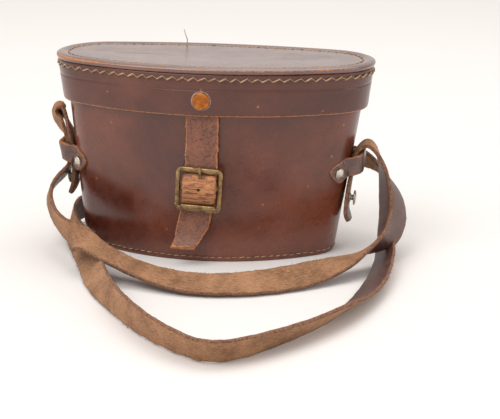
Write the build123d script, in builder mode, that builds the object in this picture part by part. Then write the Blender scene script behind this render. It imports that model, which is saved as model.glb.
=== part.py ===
"""Leather hard case for a pair of binoculars: oval body, hinged lid, buckled strap, shoulder strap.

Frame: millimetres, +Z up, front towards -Y, +X to the right of someone facing the front.
The origin is on the table, under the centre of the case's round ends.
"""

from build123d import *
import os
from dataclasses import dataclass
from math import cos, hypot, radians, sin, sqrt, tan

os.makedirs("parts", exist_ok=True)


@dataclass(frozen=True)
class Oval:
    """Plan outline of four tangent arcs: a bowed front, two round ends and a flatter back."""

    half_width: float
    front: float
    back: float
    end_radius: float

    def inset(self, depth):
        """The outline moved inwards by a depth, or outwards by a negative one."""
        return Oval(
            self.half_width - depth,
            self.front - depth,
            self.back - depth,
            self.end_radius - depth,
        )

    def towards(self, other, share):
        """The outline part of the way to another one."""
        return Oval(
            self.half_width + share * (other.half_width - self.half_width),
            self.front + share * (other.front - self.front),
            self.back + share * (other.back - self.back),
            self.end_radius + share * (other.end_radius - self.end_radius),
        )

    def long_radius(self, reach):
        """Radius of the arc that touches both end arcs and reaches this far from the X axis."""
        run = self.half_width - self.end_radius
        return (run**2 + reach**2 - self.end_radius**2) / (2 * (reach - self.end_radius))

    def tangent_point(self, reach, side):
        """Where the right end's arc meets the front arc (side -1) or the back arc (side 1)."""
        radius = self.long_radius(reach)
        run = self.half_width - self.end_radius
        centre_y = side * (reach - radius)
        scale = radius / hypot(run, centre_y)
        return run * scale, centre_y - centre_y * scale

    def reach_at(self, x):
        """How far in front of the X axis the front arc lies at x."""
        radius = self.long_radius(self.front)
        return self.front - radius + sqrt(radius**2 - x**2)


# ---- Driving dimensions, mm ----

# Case
case_height = 112.0
lid_depth = 26.5
rim_height = case_height - lid_depth
neck_rise = 13.5
neck_height = rim_height + neck_rise
base_outline = Oval(half_width=74.0, front=38.5, back=26.0, end_radius=20.0)
rim_outline = Oval(half_width=88.5, front=44.0, back=32.5, end_radius=27.0)
crown_outline = Oval(half_width=92.0, front=43.0, back=35.0, end_radius=29.0)
band_thickness = 3.0
wall_thickness = 3.0
lid_play_ends = 0.5
lid_play_back = 0.5
lid_play_front = 3.0
neck_lean_front = 3.3
neck_lean_sides = 1.8
plate_thickness = 3.0
plate_arris = 1.0
base_thickness = 5.2
fit_gap = 0.1
lining_thickness = 0.8
lining_drop = 1.0

# Thread
thread_width = 0.9
thread_proud = 0.5
thread_seat = 0.05
lid_stitch_drop = 5.7
plate_stitch_inset = 7.0
base_stitch_height = 2.6
seam_half_gap = 4.0
seam_bottom = 9.0
seam_leaf_gap = 1.0

# Leather hinge at the back
leaf_width = 64.0
leaf_thickness = 2.0
leaf_below_rim = 27.0
leaf_above_rim = 18.0
leaf_split = 0.8
leaf_margin = 3.2
hinge_axis_drop = 0.4

# Closing strap, its rivet, and the buckle
strap_width = 18.5
strap_thickness = 2.4
strap_seat = 0.1
strap_under_lid = 0.4
strap_anchor_top = rim_height + 15.0
strap_lift = 0.6
strap_behind_frame = 0.8
strap_hinge_height = rim_height + 0.5
strap_rivet_height = rim_height + 8.7
strap_cap_diameter = 9.8
strap_cap_off = 0.25
cap_thickness = 1.4
shank_diameter = 3.0
shank_play = 0.1
burr_diameter = 6.0
burr_thickness = 0.7
clinch = 0.3
burr_room = 0.4
dome_share = 0.7
# The strap's middle down the body: how far below the rim, how much further out than the body asks
strap_over_body = ((7.5, 0.0), (17.5, 0.8))
# Into the frame: how far above the frame's top, how much further out than its back asks
strap_into_frame = ((1.0, 0.0), (-3.5, 0.4))
# Over the bar: how far above the bar, how much further out than the chape asks
strap_over_bar = ((4.5, -1.2), (0.0, 0.0), (-4.5, -1.2))
# Out of the frame and down to the tail: how far above the frame's foot, how much further out
strap_below_bar = ((4.8, 0.3), (0.0, 0.3), (-6.0, 0.8), (-11.5, 2.0), (-17.0, 4.6), (-20.6, 8.6))
tail_direction = (-1.0, -0.7)
buckle_width = 27.3
buckle_height = 26.5
buckle_middle = 44.25
buckle_depth = 2.4
side_bar = 2.5
top_bar = 3.0
bottom_bar = 4.0
frame_corner = 2.6
window_corner = 1.2
frame_round_front = 0.7
frame_round_back = 0.5
lug_width = 2.0
lug_height = 3.2
buckle_stand_off = 7.15
bar_rise = 0.25
bar_height = buckle_middle + bar_rise
bar_radius = 1.2
bar_set_back = 1.8
prong_radius = 0.9
prong_eye_radius = 2.2
prong_eye_width = 2.2
# The prong's middle: how far in front of the bar and how far above it
prong_route = ((0.4, 1.75), (1.7, 4.7), (3.4, 7.8), (4.1, 12.4))
eye_play = 0.08
prong_slot = 3.0
slot_play = 3.2
prong_slot_low = bar_height + 2.5
prong_slot_high = bar_height + 8.3
chape_width = 10.0
chape_thickness = 1.0
chape_bottom = bar_height - 23.0
chape_back_straight = bar_height - 7.5
chape_front_straight = bar_height - 9.0
chape_rivet_height = bar_height - 19.0
chape_cap_diameter = 6.0
chape_cap_thickness = 0.7

# Side loops
loop_height = 49.5
loop_band = 10.5
loop_thickness = 2.4
loop_gap = 5.7
loop_half_flat = 9.6
loop_land_start_angle = 33.0
loop_land_end_angle = 53.0
loop_rivet_angle = 42.5
loop_cap_diameter = 6.5
loop_cap_thickness = 1.1
loop_burr_off = 0.3

# Shoulder strap and the studs at its two ends
shoulder_width = 15.5
shoulder_thickness = 2.3
arc_step = 18.0
bend_share = 0.45
stud_head_diameter = 8.7
stud_head_thickness = 1.4
stud_base_diameter = 5.6
stud_base_thickness = 0.5
stud_neck_diameter = 3.2
stud_neck_length = 1.6
stud_off_strap = 0.25
stud_share = 0.34
stud_hole_play = 0.3
screw_head_diameter = 6.4
screw_head_thickness = 0.7


def between(levels, height):
    """The outline at a height, from a list of (outline, height) in rising order."""
    for (low, low_z), (high, high_z) in zip(levels, levels[1:]):
        if height <= high_z:
            return low.towards(high, (height - low_z) / (high_z - low_z))
    return levels[-1][0]


shoulder_outline = Oval(
    rim_outline.half_width - band_thickness - lid_play_ends,
    rim_outline.front - band_thickness - lid_play_front,
    rim_outline.back - band_thickness - lid_play_back,
    rim_outline.end_radius - band_thickness - lid_play_ends,
)
neck_outline = Oval(
    shoulder_outline.half_width - neck_lean_sides,
    shoulder_outline.front - neck_lean_front,
    shoulder_outline.back - neck_lean_sides,
    shoulder_outline.end_radius - neck_lean_sides,
)
body_levels = [(base_outline, 0.0), (shoulder_outline, rim_height), (neck_outline, neck_height)]
lid_levels = [(rim_outline, rim_height), (crown_outline, case_height)]
seam_height = case_height - plate_thickness


def body_at(height, depth=0.0):
    """The body's outline at a height, moved inwards by a depth."""
    return between(body_levels, height).inset(depth)


def lid_at(height, depth=0.0):
    """The lid's outline at a height, moved inwards by a depth."""
    return between(lid_levels, height).inset(depth)


def oval_face(outline, height):
    """The face inside an oval outline at a height."""
    front_x, front_y = outline.tangent_point(outline.front, -1)
    back_x, back_y = outline.tangent_point(outline.back, 1)
    with BuildSketch(Plane.XY.offset(height)) as section:
        with BuildLine():
            ThreePointArc((-front_x, front_y), (0, -outline.front), (front_x, front_y))
            ThreePointArc((front_x, front_y), (outline.half_width, 0), (back_x, back_y))
            ThreePointArc((back_x, back_y), (0, outline.back), (-back_x, back_y))
            ThreePointArc((-back_x, back_y), (-outline.half_width, 0), (-front_x, front_y))
        make_face()
    return section.sketch.face()


def disc(plane, radius, hole_radius=0.0):
    """A round face on a plane, centred on its origin, with or without a hole."""
    with BuildSketch(plane) as section:
        Circle(radius)
        if hole_radius:
            Circle(hole_radius, mode=Mode.SUBTRACT)
    return section.sketch.face()


def tapered(sections, mode=Mode.ADD):
    """Adds or cuts the solid that runs straight from each (outline, height) to the next."""
    loft([oval_face(outline, height) for outline, height in sections], ruled=True, mode=mode)


def shell_of(outline_at, heights, depth, thickness):
    """Adds a skin that follows a tapered outline, from a depth inwards by a thickness."""
    tapered([(outline_at(height, depth), height) for height in heights])
    tapered([(outline_at(height, depth + thickness), height) for height in heights], Mode.SUBTRACT)


def kept_within(x_low, x_high, y_low, y_high, z_low, z_high):
    """Keeps only what lies inside a box."""
    with Locations(((x_low + x_high) / 2, (y_low + y_high) / 2, (z_low + z_high) / 2)):
        Box(x_high - x_low, y_high - y_low, z_high - z_low, mode=Mode.INTERSECT)


def save(builder, name):
    """Labels a finished piece and writes its STEP file."""
    builder.part.label = name
    export_step(builder.part, f"parts/{name}.step")


# ---- Rivets: where they are and which way they point ----

def end_point(angle, height, stand_off, side):
    """A point over a round end's wall at an angle from the X axis, this far out from the wall."""
    outline = body_at(height)
    run = outline.half_width - outline.end_radius
    radius = outline.end_radius + stand_off
    return (
        side * (run + radius * cos(radians(angle))),
        radius * sin(radians(angle)),
        height,
    )


def end_normal(angle, side):
    """The outward direction of a round end's sloping wall at an angle from the X axis."""
    run_slope = (
        shoulder_outline.half_width
        - shoulder_outline.end_radius
        - base_outline.half_width
        + base_outline.end_radius
    ) / rim_height
    radius_slope = (shoulder_outline.end_radius - base_outline.end_radius) / rim_height
    across = cos(radians(angle))
    along = sin(radians(angle))
    return (side * across, along, -run_slope * across - radius_slope)


def rivet_plane(angle, side, stand_off=0.0):
    """A plane on a round end's wall, with its normal along the rivet, pointing outwards."""
    normal = end_normal(angle, side)
    return Plane(
        origin=end_point(angle, loop_height, stand_off, side),
        x_dir=(-side * sin(radians(angle)), cos(radians(angle)), 0),
        z_dir=normal,
    )


def rivet(plane, head_from, head_diameter, head_thickness, reach):
    """Adds a domed rivet: its head stands on a plane's far side and its shank reaches inwards."""
    extrude(disc(plane.offset(head_from), head_diameter / 2), amount=head_thickness)
    rim = faces().sort_by(Axis(plane.origin, plane.z_dir))[-1].edges()
    fillet(rim, head_thickness * dome_share)
    extrude(disc(plane.offset(head_from), shank_diameter / 2), amount=-(head_from + reach))


def burr(plane, depth):
    """Adds a rivet's inner washer, whose outer face lies at a depth behind a plane."""
    washer = disc(plane.offset(-depth), burr_diameter / 2, shank_diameter / 2 + shank_play)
    extrude(washer, amount=-burr_thickness)


def bore(plane, diameter, start, end):
    """Cuts a round hole along a plane's normal, from one distance to another."""
    extrude(disc(plane.offset(start), diameter / 2), amount=end - start, mode=Mode.SUBTRACT)


hole_diameter = shank_diameter + 2 * shank_play
strap_rivet_face = lid_at(strap_rivet_height).front
chape_rivet_face = body_at(chape_rivet_height).front
forwards = dict(x_dir=(1, 0, 0), z_dir=(0, -1, 0))
strap_rivet_plane = Plane(origin=(0, -strap_rivet_face, strap_rivet_height), **forwards)
chape_rivet_plane = Plane(origin=(0, -chape_rivet_face, chape_rivet_height), **forwards)
loop_rivet_places = {
    "right_front": (-loop_rivet_angle, 1),
    "right_back": (loop_rivet_angle, 1),
    "left_front": (-loop_rivet_angle, -1),
    "left_back": (loop_rivet_angle, -1),
}
loop_rivet_planes = {name: rivet_plane(*place) for name, place in loop_rivet_places.items()}
wall_rivet_planes = [chape_rivet_plane] + list(loop_rivet_planes.values())

# ---- Body ----

with BuildPart() as body_wall:
    tapered(body_levels)
    tapered([(outline.inset(wall_thickness), height) for outline, height in body_levels], Mode.SUBTRACT)
    for plane in wall_rivet_planes:
        bore(plane, hole_diameter, wall_thickness, -2 * wall_thickness)
save(body_wall, "body_wall")

with BuildPart() as base_plate:
    tapered([(body_at(z, wall_thickness + fit_gap), z) for z in (0.0, base_thickness)])
save(base_plate, "base_plate")

with BuildPart() as base_stitching:
    base_row = (base_stitch_height - thread_width / 2, base_stitch_height + thread_width / 2)
    shell_of(body_at, base_row, -thread_seat - thread_proud, thread_proud)
save(base_stitching, "base_stitching")

lining_floor = base_thickness + fit_gap
lining_top = neck_height - lining_drop
lining_depth = wall_thickness + fit_gap
with BuildPart() as body_lining:
    outer_levels = (lining_floor, rim_height, lining_top)
    inner_levels = (lining_floor + lining_thickness, rim_height, lining_top)
    tapered([(body_at(z, lining_depth), z) for z in outer_levels])
    tapered([(body_at(z, lining_depth + lining_thickness), z) for z in inner_levels], Mode.SUBTRACT)
    for plane in wall_rivet_planes:
        bore(plane, burr_diameter + 2 * burr_room, -wall_thickness, -3 * wall_thickness)
save(body_lining, "body_lining")

# ---- Lid ----

with BuildPart() as lid_band:
    shell_of(lid_at, (rim_height, seam_height), 0.0, band_thickness)
    bore(strap_rivet_plane, hole_diameter, band_thickness, -2 * band_thickness)
save(lid_band, "lid_band")

with BuildPart() as lid_top:
    arris_turns = [radians(angle) for angle in (0, 30, 60, 90)]
    arris_levels = [
        (lid_at(case_height, plate_arris * (1 - cos(turn))), case_height - plate_arris * (1 - sin(turn)))
        for turn in arris_turns
    ]
    tapered([(lid_at(seam_height), seam_height)] + arris_levels)
save(lid_top, "lid_top")

with BuildPart() as lid_stitching:
    side_low = seam_height - lid_stitch_drop + plate_thickness - thread_width / 2
    shell_of(lid_at, (side_low, side_low + thread_width), -thread_seat - thread_proud, thread_proud)
    plate_line = lid_at(case_height, plate_stitch_inset)
    plate_seat = case_height + thread_seat
    extrude(oval_face(plate_line, plate_seat), amount=thread_proud)
    extrude(oval_face(plate_line.inset(thread_width), plate_seat), amount=thread_proud, mode=Mode.SUBTRACT)
save(lid_stitching, "lid_stitching")

with BuildPart() as lid_lining:
    card_top = seam_height - fit_gap
    card_levels = (card_top - lining_thickness, card_top)
    tapered([(lid_at(z, band_thickness + fit_gap), z) for z in card_levels])
save(lid_lining, "lid_lining")

# ---- Leather hinge: a leaf on the body, a leaf on the lid, and their threads ----

hinge_axis_height = rim_height - hinge_axis_drop
hinge_axis_reach = rim_outline.back + thread_seat
leaf_body_top = hinge_axis_height - leaf_split / 2
leaf_lid_low = hinge_axis_height + leaf_split / 2
leaf_body_low = rim_height - leaf_below_rim
leaf_lid_top = rim_height + leaf_above_rim
half_leaf = leaf_width / 2

with BuildPart() as hinge_leaf_body:
    shell_of(body_at, (leaf_body_low, leaf_body_top), -thread_seat - leaf_thickness, leaf_thickness)
    kept_within(-half_leaf, half_leaf, 0, 2 * rim_outline.back, leaf_body_low, leaf_body_top)
save(hinge_leaf_body, "hinge_leaf_body")

with BuildPart() as hinge_leaf_lid:
    shell_of(lid_at, (leaf_lid_low, leaf_lid_top), -thread_seat - leaf_thickness, leaf_thickness)
    kept_within(-half_leaf, half_leaf, 0, 2 * rim_outline.back, leaf_lid_low, leaf_lid_top)
save(hinge_leaf_lid, "hinge_leaf_lid")


def leaf_thread(outline_at, rows):
    """Adds the rows of thread on a hinge leaf, each at its height."""
    outside = -thread_seat - leaf_thickness - thread_seat - thread_proud
    levels = (min(rows) - thread_width / 2, max(rows) + thread_width / 2)
    shell_of(outline_at, levels, outside, thread_proud)
    half_row = half_leaf - leaf_margin
    with Locations(*[(0, rim_outline.back, height) for height in rows]):
        Box(2 * half_row, rim_outline.back, thread_width, mode=Mode.INTERSECT)


with BuildPart() as hinge_stitching_body:
    leaf_thread(body_at, (leaf_body_low + leaf_margin, leaf_body_low + 3 * leaf_margin))
save(hinge_stitching_body, "hinge_stitching_body")

with BuildPart() as hinge_stitching_lid:
    leaf_thread(lid_at, (leaf_lid_top - leaf_margin, leaf_lid_top - 3 * leaf_margin))
save(hinge_stitching_lid, "hinge_stitching_lid")

with BuildPart() as back_seam_stitching:
    seam_top = leaf_body_low - seam_leaf_gap
    seam_middle = (seam_bottom + seam_top) / 2
    shell_of(body_at, (seam_bottom, seam_top), -thread_seat - thread_proud, thread_proud)
    with Locations(*[(x, rim_outline.back, seam_middle) for x in (-seam_half_gap, seam_half_gap)]):
        Box(thread_width, rim_outline.back, seam_top - seam_bottom, mode=Mode.INTERSECT)
save(back_seam_stitching, "back_seam_stitching")

# ---- Buckle, prong and chape ----

buckle_back = body_at(buckle_middle).front + buckle_stand_off - buckle_depth / 2
bar_reach = buckle_back + buckle_depth / 2 - bar_set_back
bar_plane = Plane.YZ.offset(-prong_eye_width / 2)
window_low = buckle_middle - buckle_height / 2 + bottom_bar
window_high = buckle_middle + buckle_height / 2 - top_bar

with BuildPart() as buckle_frame:
    with BuildSketch(Plane.XZ.offset(buckle_back)):
        with Locations((0, buckle_middle)):
            RectangleRounded(buckle_width, buckle_height, frame_corner)
        with Locations((0, (window_low + window_high) / 2)):
            RectangleRounded(
                buckle_width - 2 * side_bar, window_high - window_low, window_corner, mode=Mode.SUBTRACT
            )
    extrude(amount=buckle_depth)
    fillet(faces().sort_by(Axis.Y)[0].edges(), frame_round_front)
    fillet(faces().sort_by(Axis.Y)[-1].edges(), frame_round_back)
    lug_x = buckle_width / 2 - side_bar / 2
    with Locations((-lug_x, -bar_reach, bar_height), (lug_x, -bar_reach, bar_height)):
        Box(lug_width, 2 * bar_set_back, lug_height)
    with Locations((0, -bar_reach, bar_height)):
        Cylinder(bar_radius, 2 * lug_x, rotation=(0, 90, 0))
save(buckle_frame, "buckle_frame")

with BuildPart() as buckle_prong:
    with BuildSketch(bar_plane):
        with Locations((-bar_reach, bar_height)):
            Circle(prong_eye_radius)
            Circle(bar_radius + eye_play, mode=Mode.SUBTRACT)
    extrude(amount=prong_eye_width)
    shaft_route = [(0, -bar_reach - out, bar_height + up) for out, up in prong_route]
    with BuildLine() as shaft_line:
        Spline(*shaft_route)
    with BuildSketch(Plane(origin=shaft_line.line @ 0, z_dir=shaft_line.line % 0)):
        Circle(prong_radius)
    sweep(path=shaft_line.line)
    with Locations(shaft_route[-1]):
        Sphere(prong_radius)
save(buckle_prong, "buckle_prong")

chape_inner = body_at(chape_rivet_height).front + fit_gap + strap_seat + chape_thickness / 2
chape_outer = chape_inner + chape_thickness + strap_seat
chape_turn = bar_radius + fit_gap + chape_thickness / 2
with BuildPart() as buckle_chape:
    with BuildLine(Plane.YZ) as chape_line:
        behind_bar = (-bar_reach + chape_turn, bar_height)
        over_bar = (-bar_reach, bar_height + chape_turn)
        before_bar = (-bar_reach - chape_turn, bar_height)
        Line((-chape_inner, chape_bottom), (-chape_inner, chape_back_straight))
        Spline((-chape_inner, chape_back_straight), behind_bar, tangents=((0, 1), (0, 1)))
        ThreePointArc(behind_bar, over_bar, before_bar)
        Spline(before_bar, (-chape_outer, chape_front_straight), tangents=((0, -1), (0, -1)))
        Line((-chape_outer, chape_front_straight), (-chape_outer, chape_bottom))
    with BuildSketch(Plane.XY.offset(chape_bottom)):
        with Locations((0, -chape_inner)):
            Rectangle(chape_width, chape_thickness)
    sweep(path=chape_line.line)
    slot_low = bar_height - prong_eye_radius - slot_play
    slot_high = bar_height + 2 * chape_turn
    with Locations((0, -bar_reach, (slot_low + slot_high) / 2)):
        Box(prong_slot, 4 * chape_turn, slot_high - slot_low, mode=Mode.SUBTRACT)
    bore(chape_rivet_plane, hole_diameter, 0.0, 2 * chape_outer)
save(buckle_chape, "buckle_chape")

chape_stack = chape_outer + chape_thickness / 2 - chape_rivet_face
chape_burr_depth = wall_thickness + strap_seat
with BuildPart() as chape_rivet:
    reach = chape_burr_depth + burr_thickness + clinch
    rivet(chape_rivet_plane, chape_stack + thread_seat, chape_cap_diameter, chape_cap_thickness, reach)
save(chape_rivet, "chape_rivet")

with BuildPart() as chape_burr:
    burr(chape_rivet_plane, chape_burr_depth)
save(chape_burr, "chape_burr")

# ---- Closing strap and the rivet that holds it in the lid ----

half_strap = strap_thickness / 2


def under_band(height):
    """How far in front of the X axis the strap's middle lies, inside the lid's band."""
    return lid_at(height, band_thickness + strap_under_lid + half_strap).front


def over_body(height):
    """How far in front of the X axis the strap's middle lies, down the body's front."""
    return body_at(height).front + strap_lift + half_strap


frame_low = buckle_middle - buckle_height / 2
frame_high = buckle_middle + buckle_height / 2
behind_frame = buckle_back - strap_behind_frame - half_strap
over_chape = bar_reach + chape_turn + chape_thickness / 2 + strap_seat + half_strap
strap_top = (-under_band(strap_anchor_top), strap_anchor_top)
strap_fold = (-under_band(strap_hinge_height), strap_hinge_height)
strap_line_points = (
    [strap_fold]
    + [(-over_body(rim_height - drop) - out, rim_height - drop) for drop, out in strap_over_body]
    + [(-behind_frame - out, frame_high + up) for up, out in strap_into_frame]
    + [(-over_chape - out, bar_height + up) for up, out in strap_over_bar]
    + [(-behind_frame - out, frame_low + up) for up, out in strap_below_bar]
)
fold_direction = (strap_fold[0] - strap_top[0], strap_fold[1] - strap_top[1])

with BuildPart() as closing_strap:
    with BuildLine(Plane.YZ) as strap_line:
        Line(strap_top, strap_fold)
        Spline(*strap_line_points, tangents=(fold_direction, tail_direction))
    with BuildSketch(Plane(origin=strap_line.line @ 0, x_dir=(1, 0, 0), z_dir=strap_line.line % 0)):
        Rectangle(strap_width, strap_thickness)
    sweep(path=strap_line.line)
    bore(strap_rivet_plane, hole_diameter, 0.0, -3 * band_thickness)
    with Locations((0, -over_chape, (prong_slot_low + prong_slot_high) / 2)):
        Box(prong_slot, 4 * strap_thickness, prong_slot_high - prong_slot_low, mode=Mode.SUBTRACT)
save(closing_strap, "closing_strap")

strap_burr_depth = band_thickness + strap_under_lid + strap_thickness + strap_seat
with BuildPart() as strap_rivet:
    reach = strap_burr_depth + burr_thickness + clinch
    rivet(strap_rivet_plane, strap_cap_off, strap_cap_diameter, cap_thickness, reach)
save(strap_rivet, "strap_rivet")

with BuildPart() as strap_rivet_burr:
    burr(strap_rivet_plane, strap_burr_depth)
save(strap_rivet_burr, "strap_rivet_burr")

# ---- Side loops and their rivets ----


def loop_face(height):
    """The right loop's section at a height: two lands on the wall and a raised flat between."""
    outline = body_at(height)
    run = outline.half_width - outline.end_radius
    inner = outline.end_radius + thread_seat
    outer = inner + loop_thickness
    flat = outline.half_width + loop_gap

    def land(radius, angle):
        return run + radius * cos(radians(angle)), radius * sin(radians(angle))

    middle = (loop_land_start_angle + loop_land_end_angle) / 2
    with BuildSketch(Plane.XY.offset(height)) as section:
        with BuildLine():
            for radius, reach, half in (
                (inner, flat, loop_half_flat),
                (outer, flat + loop_thickness, loop_half_flat + loop_thickness / 2),
            ):
                low_end, low_middle, low_start = (
                    land(radius, -angle) for angle in (loop_land_end_angle, middle, loop_land_start_angle)
                )
                high_start, high_middle, high_end = (
                    land(radius, angle) for angle in (loop_land_start_angle, middle, loop_land_end_angle)
                )
                ThreePointArc(low_end, low_middle, low_start)
                Polyline(low_start, (reach, -half), (reach, half), high_start)
                ThreePointArc(high_start, high_middle, high_end)
            Line(land(inner, -loop_land_end_angle), land(outer, -loop_land_end_angle))
            Line(land(inner, loop_land_end_angle), land(outer, loop_land_end_angle))
        make_face()
    return section.sketch.face()


with BuildPart() as loop_right:
    loop_levels = (loop_height - loop_band / 2, loop_height + loop_band / 2)
    loft([loop_face(height) for height in loop_levels], ruled=True)
    for name in ("right_front", "right_back"):
        bore(loop_rivet_planes[name], hole_diameter, -loop_thickness, 3 * loop_thickness)
save(loop_right, "loop_right")

with BuildPart() as loop_left:
    add(loop_right.part)
    mirror(about=Plane.YZ, mode=Mode.REPLACE)
save(loop_left, "loop_left")

loop_burr_depth = wall_thickness + loop_burr_off
for name, plane in loop_rivet_planes.items():
    with BuildPart() as loop_rivet:
        reach = loop_burr_depth + burr_thickness + clinch
        rivet(plane, loop_thickness + 2 * thread_seat, loop_cap_diameter, loop_cap_thickness, reach)
    save(loop_rivet, f"loop_rivet_{name}")

for side in ("left", "right"):
    with BuildPart() as loop_burrs:
        burr(loop_rivet_planes[f"{side}_front"], loop_burr_depth)
        burr(loop_rivet_planes[f"{side}_back"], loop_burr_depth)
    save(loop_burrs, f"loop_burrs_{side}")

# ---- Shoulder strap: its route, point by point, and the way its width lies at each point ----

shoulder_route = [
    ((82.8, -4.8, 16.0), (0.00, 1.00, 0.00)),
    ((80.5, -4.6, 20.8), (0.00, 1.00, 0.00)),
    ((80.3, -4.0, 28.5), (0.00, 1.00, 0.00)),
    ((81.0, -2.8, 39.5), (0.00, 1.00, 0.00)),
    ((82.6, -0.5, 50.5), (0.00, 1.00, 0.00)),
    ((84.2, 0.0, 60.5), (0.00, 1.00, 0.00)),
    ((91.0, 0.0, 65.0), (0.00, 1.00, 0.00)),
    ((97.8, -1.0, 54.0), (-0.25, 0.97, 0.00)),
    ((100.6, -3.0, 37.0), (-0.50, 0.86, 0.00)),
    ((101.2, -5.0, 19.0), (-0.45, 0.88, -0.05)),
    ((102.0, -18.0, 4.8), (-0.55, 0.83, 0.00)),
    ((103.0, -43.0, 3.0), (-0.82, 0.55, -0.12)),
    ((100.0, -70.0, 3.8), (-0.85, 0.47, -0.20)),
    ((92.0, -98.0, 4.0), (-0.75, 0.60, -0.24)),
    ((78.0, -126.0, 4.2), (-0.60, 0.77, -0.26)),
    ((59.0, -152.0, 4.0), (-0.45, 0.88, -0.25)),
    ((33.0, -180.0, 3.0), (-0.20, 0.97, 0.10)),
    ((6.0, -176.0, 4.2), (0.20, 0.93, 0.30)),
    ((-15.0, -150.0, 4.2), (0.35, 0.90, 0.28)),
    ((-33.0, -120.0, 3.9), (0.60, 0.76, 0.24)),
    ((-49.0, -91.0, 3.0), (0.75, 0.62, 0.10)),
    ((-63.0, -64.0, 2.8), (0.90, 0.42, 0.00)),
    ((-75.0, -38.0, 5.8), (0.95, 0.20, -0.20)),
    ((-84.0, -10.0, 9.0), (0.75, 0.10, -0.60)),
    ((-88.0, 18.0, 10.5), (0.25, 0.00, -0.95)),
    ((-74.0, 42.0, 10.0), (0.00, 0.00, -1.00)),
    ((-47.0, 53.0, 11.5), (0.00, 0.00, -1.00)),
    ((-18.0, 57.0, 17.0), (0.00, 0.00, -1.00)),
    ((11.0, 55.0, 26.0), (0.00, 0.10, -1.00)),
    ((39.0, 49.5, 36.0), (0.00, 0.20, -0.95)),
    ((65.0, 41.0, 45.5), (0.00, 0.40, -0.90)),
    ((86.0, 27.0, 49.5), (0.00, 0.60, -0.80)),
    ((101.0, 18.0, 40.5), (0.35, 0.70, -0.60)),
    ((111.5, 3.5, 28.5), (0.42, 0.75, -0.45)),
    ((110.5, -18.0, 19.0), (0.42, 0.85, -0.30)),
    ((99.0, -37.0, 15.4), (0.35, 0.90, -0.20)),
    ((80.0, -56.0, 8.6), (0.17, 0.95, 0.20)),
    ((57.0, -77.0, 6.4), (0.30, 0.75, 0.45)),
    ((30.0, -90.5, 6.0), (0.20, 0.82, 0.48)),
    ((2.0, -93.5, 5.4), (0.08, 0.90, 0.43)),
    ((-26.0, -84.0, 6.0), (0.15, 0.96, 0.20)),
    ((-49.0, -75.0, 11.4), (0.10, 0.99, 0.00)),
    ((-67.0, -66.0, 14.6), (0.10, 0.98, 0.05)),
    ((-82.0, -47.0, 18.5), (0.10, 0.90, 0.30)),
    ((-91.5, -29.0, 27.0), (0.15, 0.95, 0.20)),
    ((-93.5, -13.5, 34.0), (0.10, 1.00, 0.00)),
    ((-84.1, -2.0, 40.8), (0.00, 1.00, 0.00)),
    ((-84.2, 0.0, 48.5), (0.00, 1.00, 0.00)),
    ((-85.6, 0.0, 58.0), (0.00, 1.00, 0.00)),
    ((-91.8, 0.0, 67.5), (0.00, 1.00, 0.00)),
    ((-94.6, 0.0, 75.8), (0.00, 1.00, 0.00)),
    ((-88.8, 0.0, 79.4), (0.00, 1.00, 0.00)),
    ((-85.0, 0.0, 74.0), (0.00, 1.00, 0.00)),
    ((-83.9, 0.0, 63.5), (0.00, 1.00, 0.00)),
    ((-82.3, 0.0, 53.0), (0.00, 1.00, 0.00)),
    ((-81.3, 0.0, 43.0), (0.00, 1.00, 0.00)),
    ((-80.9, 0.0, 28.5), (0.00, 1.00, 0.00)),
    ((-82.6, 0.0, 21.4), (0.00, 1.00, 0.00)),
]

corners = [Vector(*place) for place, _ in shoulder_route]
runs = [after - before for before, after in zip(corners, corners[1:])]
turns = [before.get_angle(after) for before, after in zip(runs, runs[1:])]
shoulder_radii = [
    bend_share * min(before.length, after.length) / tan(radians(turn) / 2)
    for before, after, turn in zip(runs, runs[1:], turns)
]
print("shoulder strap radii", [round(radius, 1) for radius in shoulder_radii])
print("longest run", round(max(run.length for run in runs), 1), "largest turn", round(max(turns), 1))

with BuildLine() as shoulder_line:
    FilletPolyline(*corners, radius=shoulder_radii)


def across_at(share):
    """The way the strap's width lies, a share of the way along its route."""
    reached = [0.0]
    for run in runs:
        reached.append(reached[-1] + run.length)
    travelled = share * reached[-1]
    for index, run in enumerate(runs):
        if travelled <= reached[index + 1]:
            part = (travelled - reached[index]) / run.length
            before = Vector(*shoulder_route[index][1])
            after = Vector(*shoulder_route[index + 1][1])
            return before + (after - before) * part
    return Vector(*shoulder_route[-1][1])


def strap_section(line, share):
    """The strap's section at a share of the way along its line."""
    along = line % share
    across = across_at(share)
    level = across - along * across.dot(along)
    with BuildSketch(Plane(origin=line @ share, x_dir=level, z_dir=along)) as section:
        Rectangle(shoulder_width, shoulder_thickness)
    return section.sketch.face()


def strap_shares(line):
    """Where along the line its sections stand: at each end of a run, and in steps round an arc."""
    shares = [0.0]
    done = 0.0
    for edge in line.order_edges():
        turn = (edge % 0).get_angle(edge % 1)
        steps = 1 + int(turn / arc_step)
        shares += [(done + edge.length * step / steps) / line.length for step in range(1, steps + 1)]
        done += edge.length
    return shares


def stud_plane(lower, upper, side):
    """A plane over the strap's outer face between two route points, facing away from the case."""
    place = lower + (upper - lower) * stud_share
    reach = place.X + side * (shoulder_thickness / 2 + stud_off_strap)
    return Plane(origin=(reach, place.Y, place.Z), x_dir=(0, 1, 0), z_dir=(side, 0, 0))


stud_planes = {
    "right": stud_plane(corners[2], corners[3], 1),
    "left": stud_plane(corners[-2], corners[-3], -1),
}

with BuildPart() as shoulder_strap:
    strap_wire = shoulder_line.wire()
    loft([strap_section(strap_wire, share) for share in strap_shares(strap_wire)], ruled=True)
    for plane in stud_planes.values():
        bore(plane, shank_diameter + 2 * stud_hole_play, stud_off_strap, -2 * shoulder_thickness)
save(shoulder_strap, "shoulder_strap")
strap_volume = shoulder_width * shoulder_thickness * strap_wire.length
print("strap length", round(strap_wire.length, 1))
print("volume against section times length", round(shoulder_strap.part.volume / strap_volume, 4))

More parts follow.
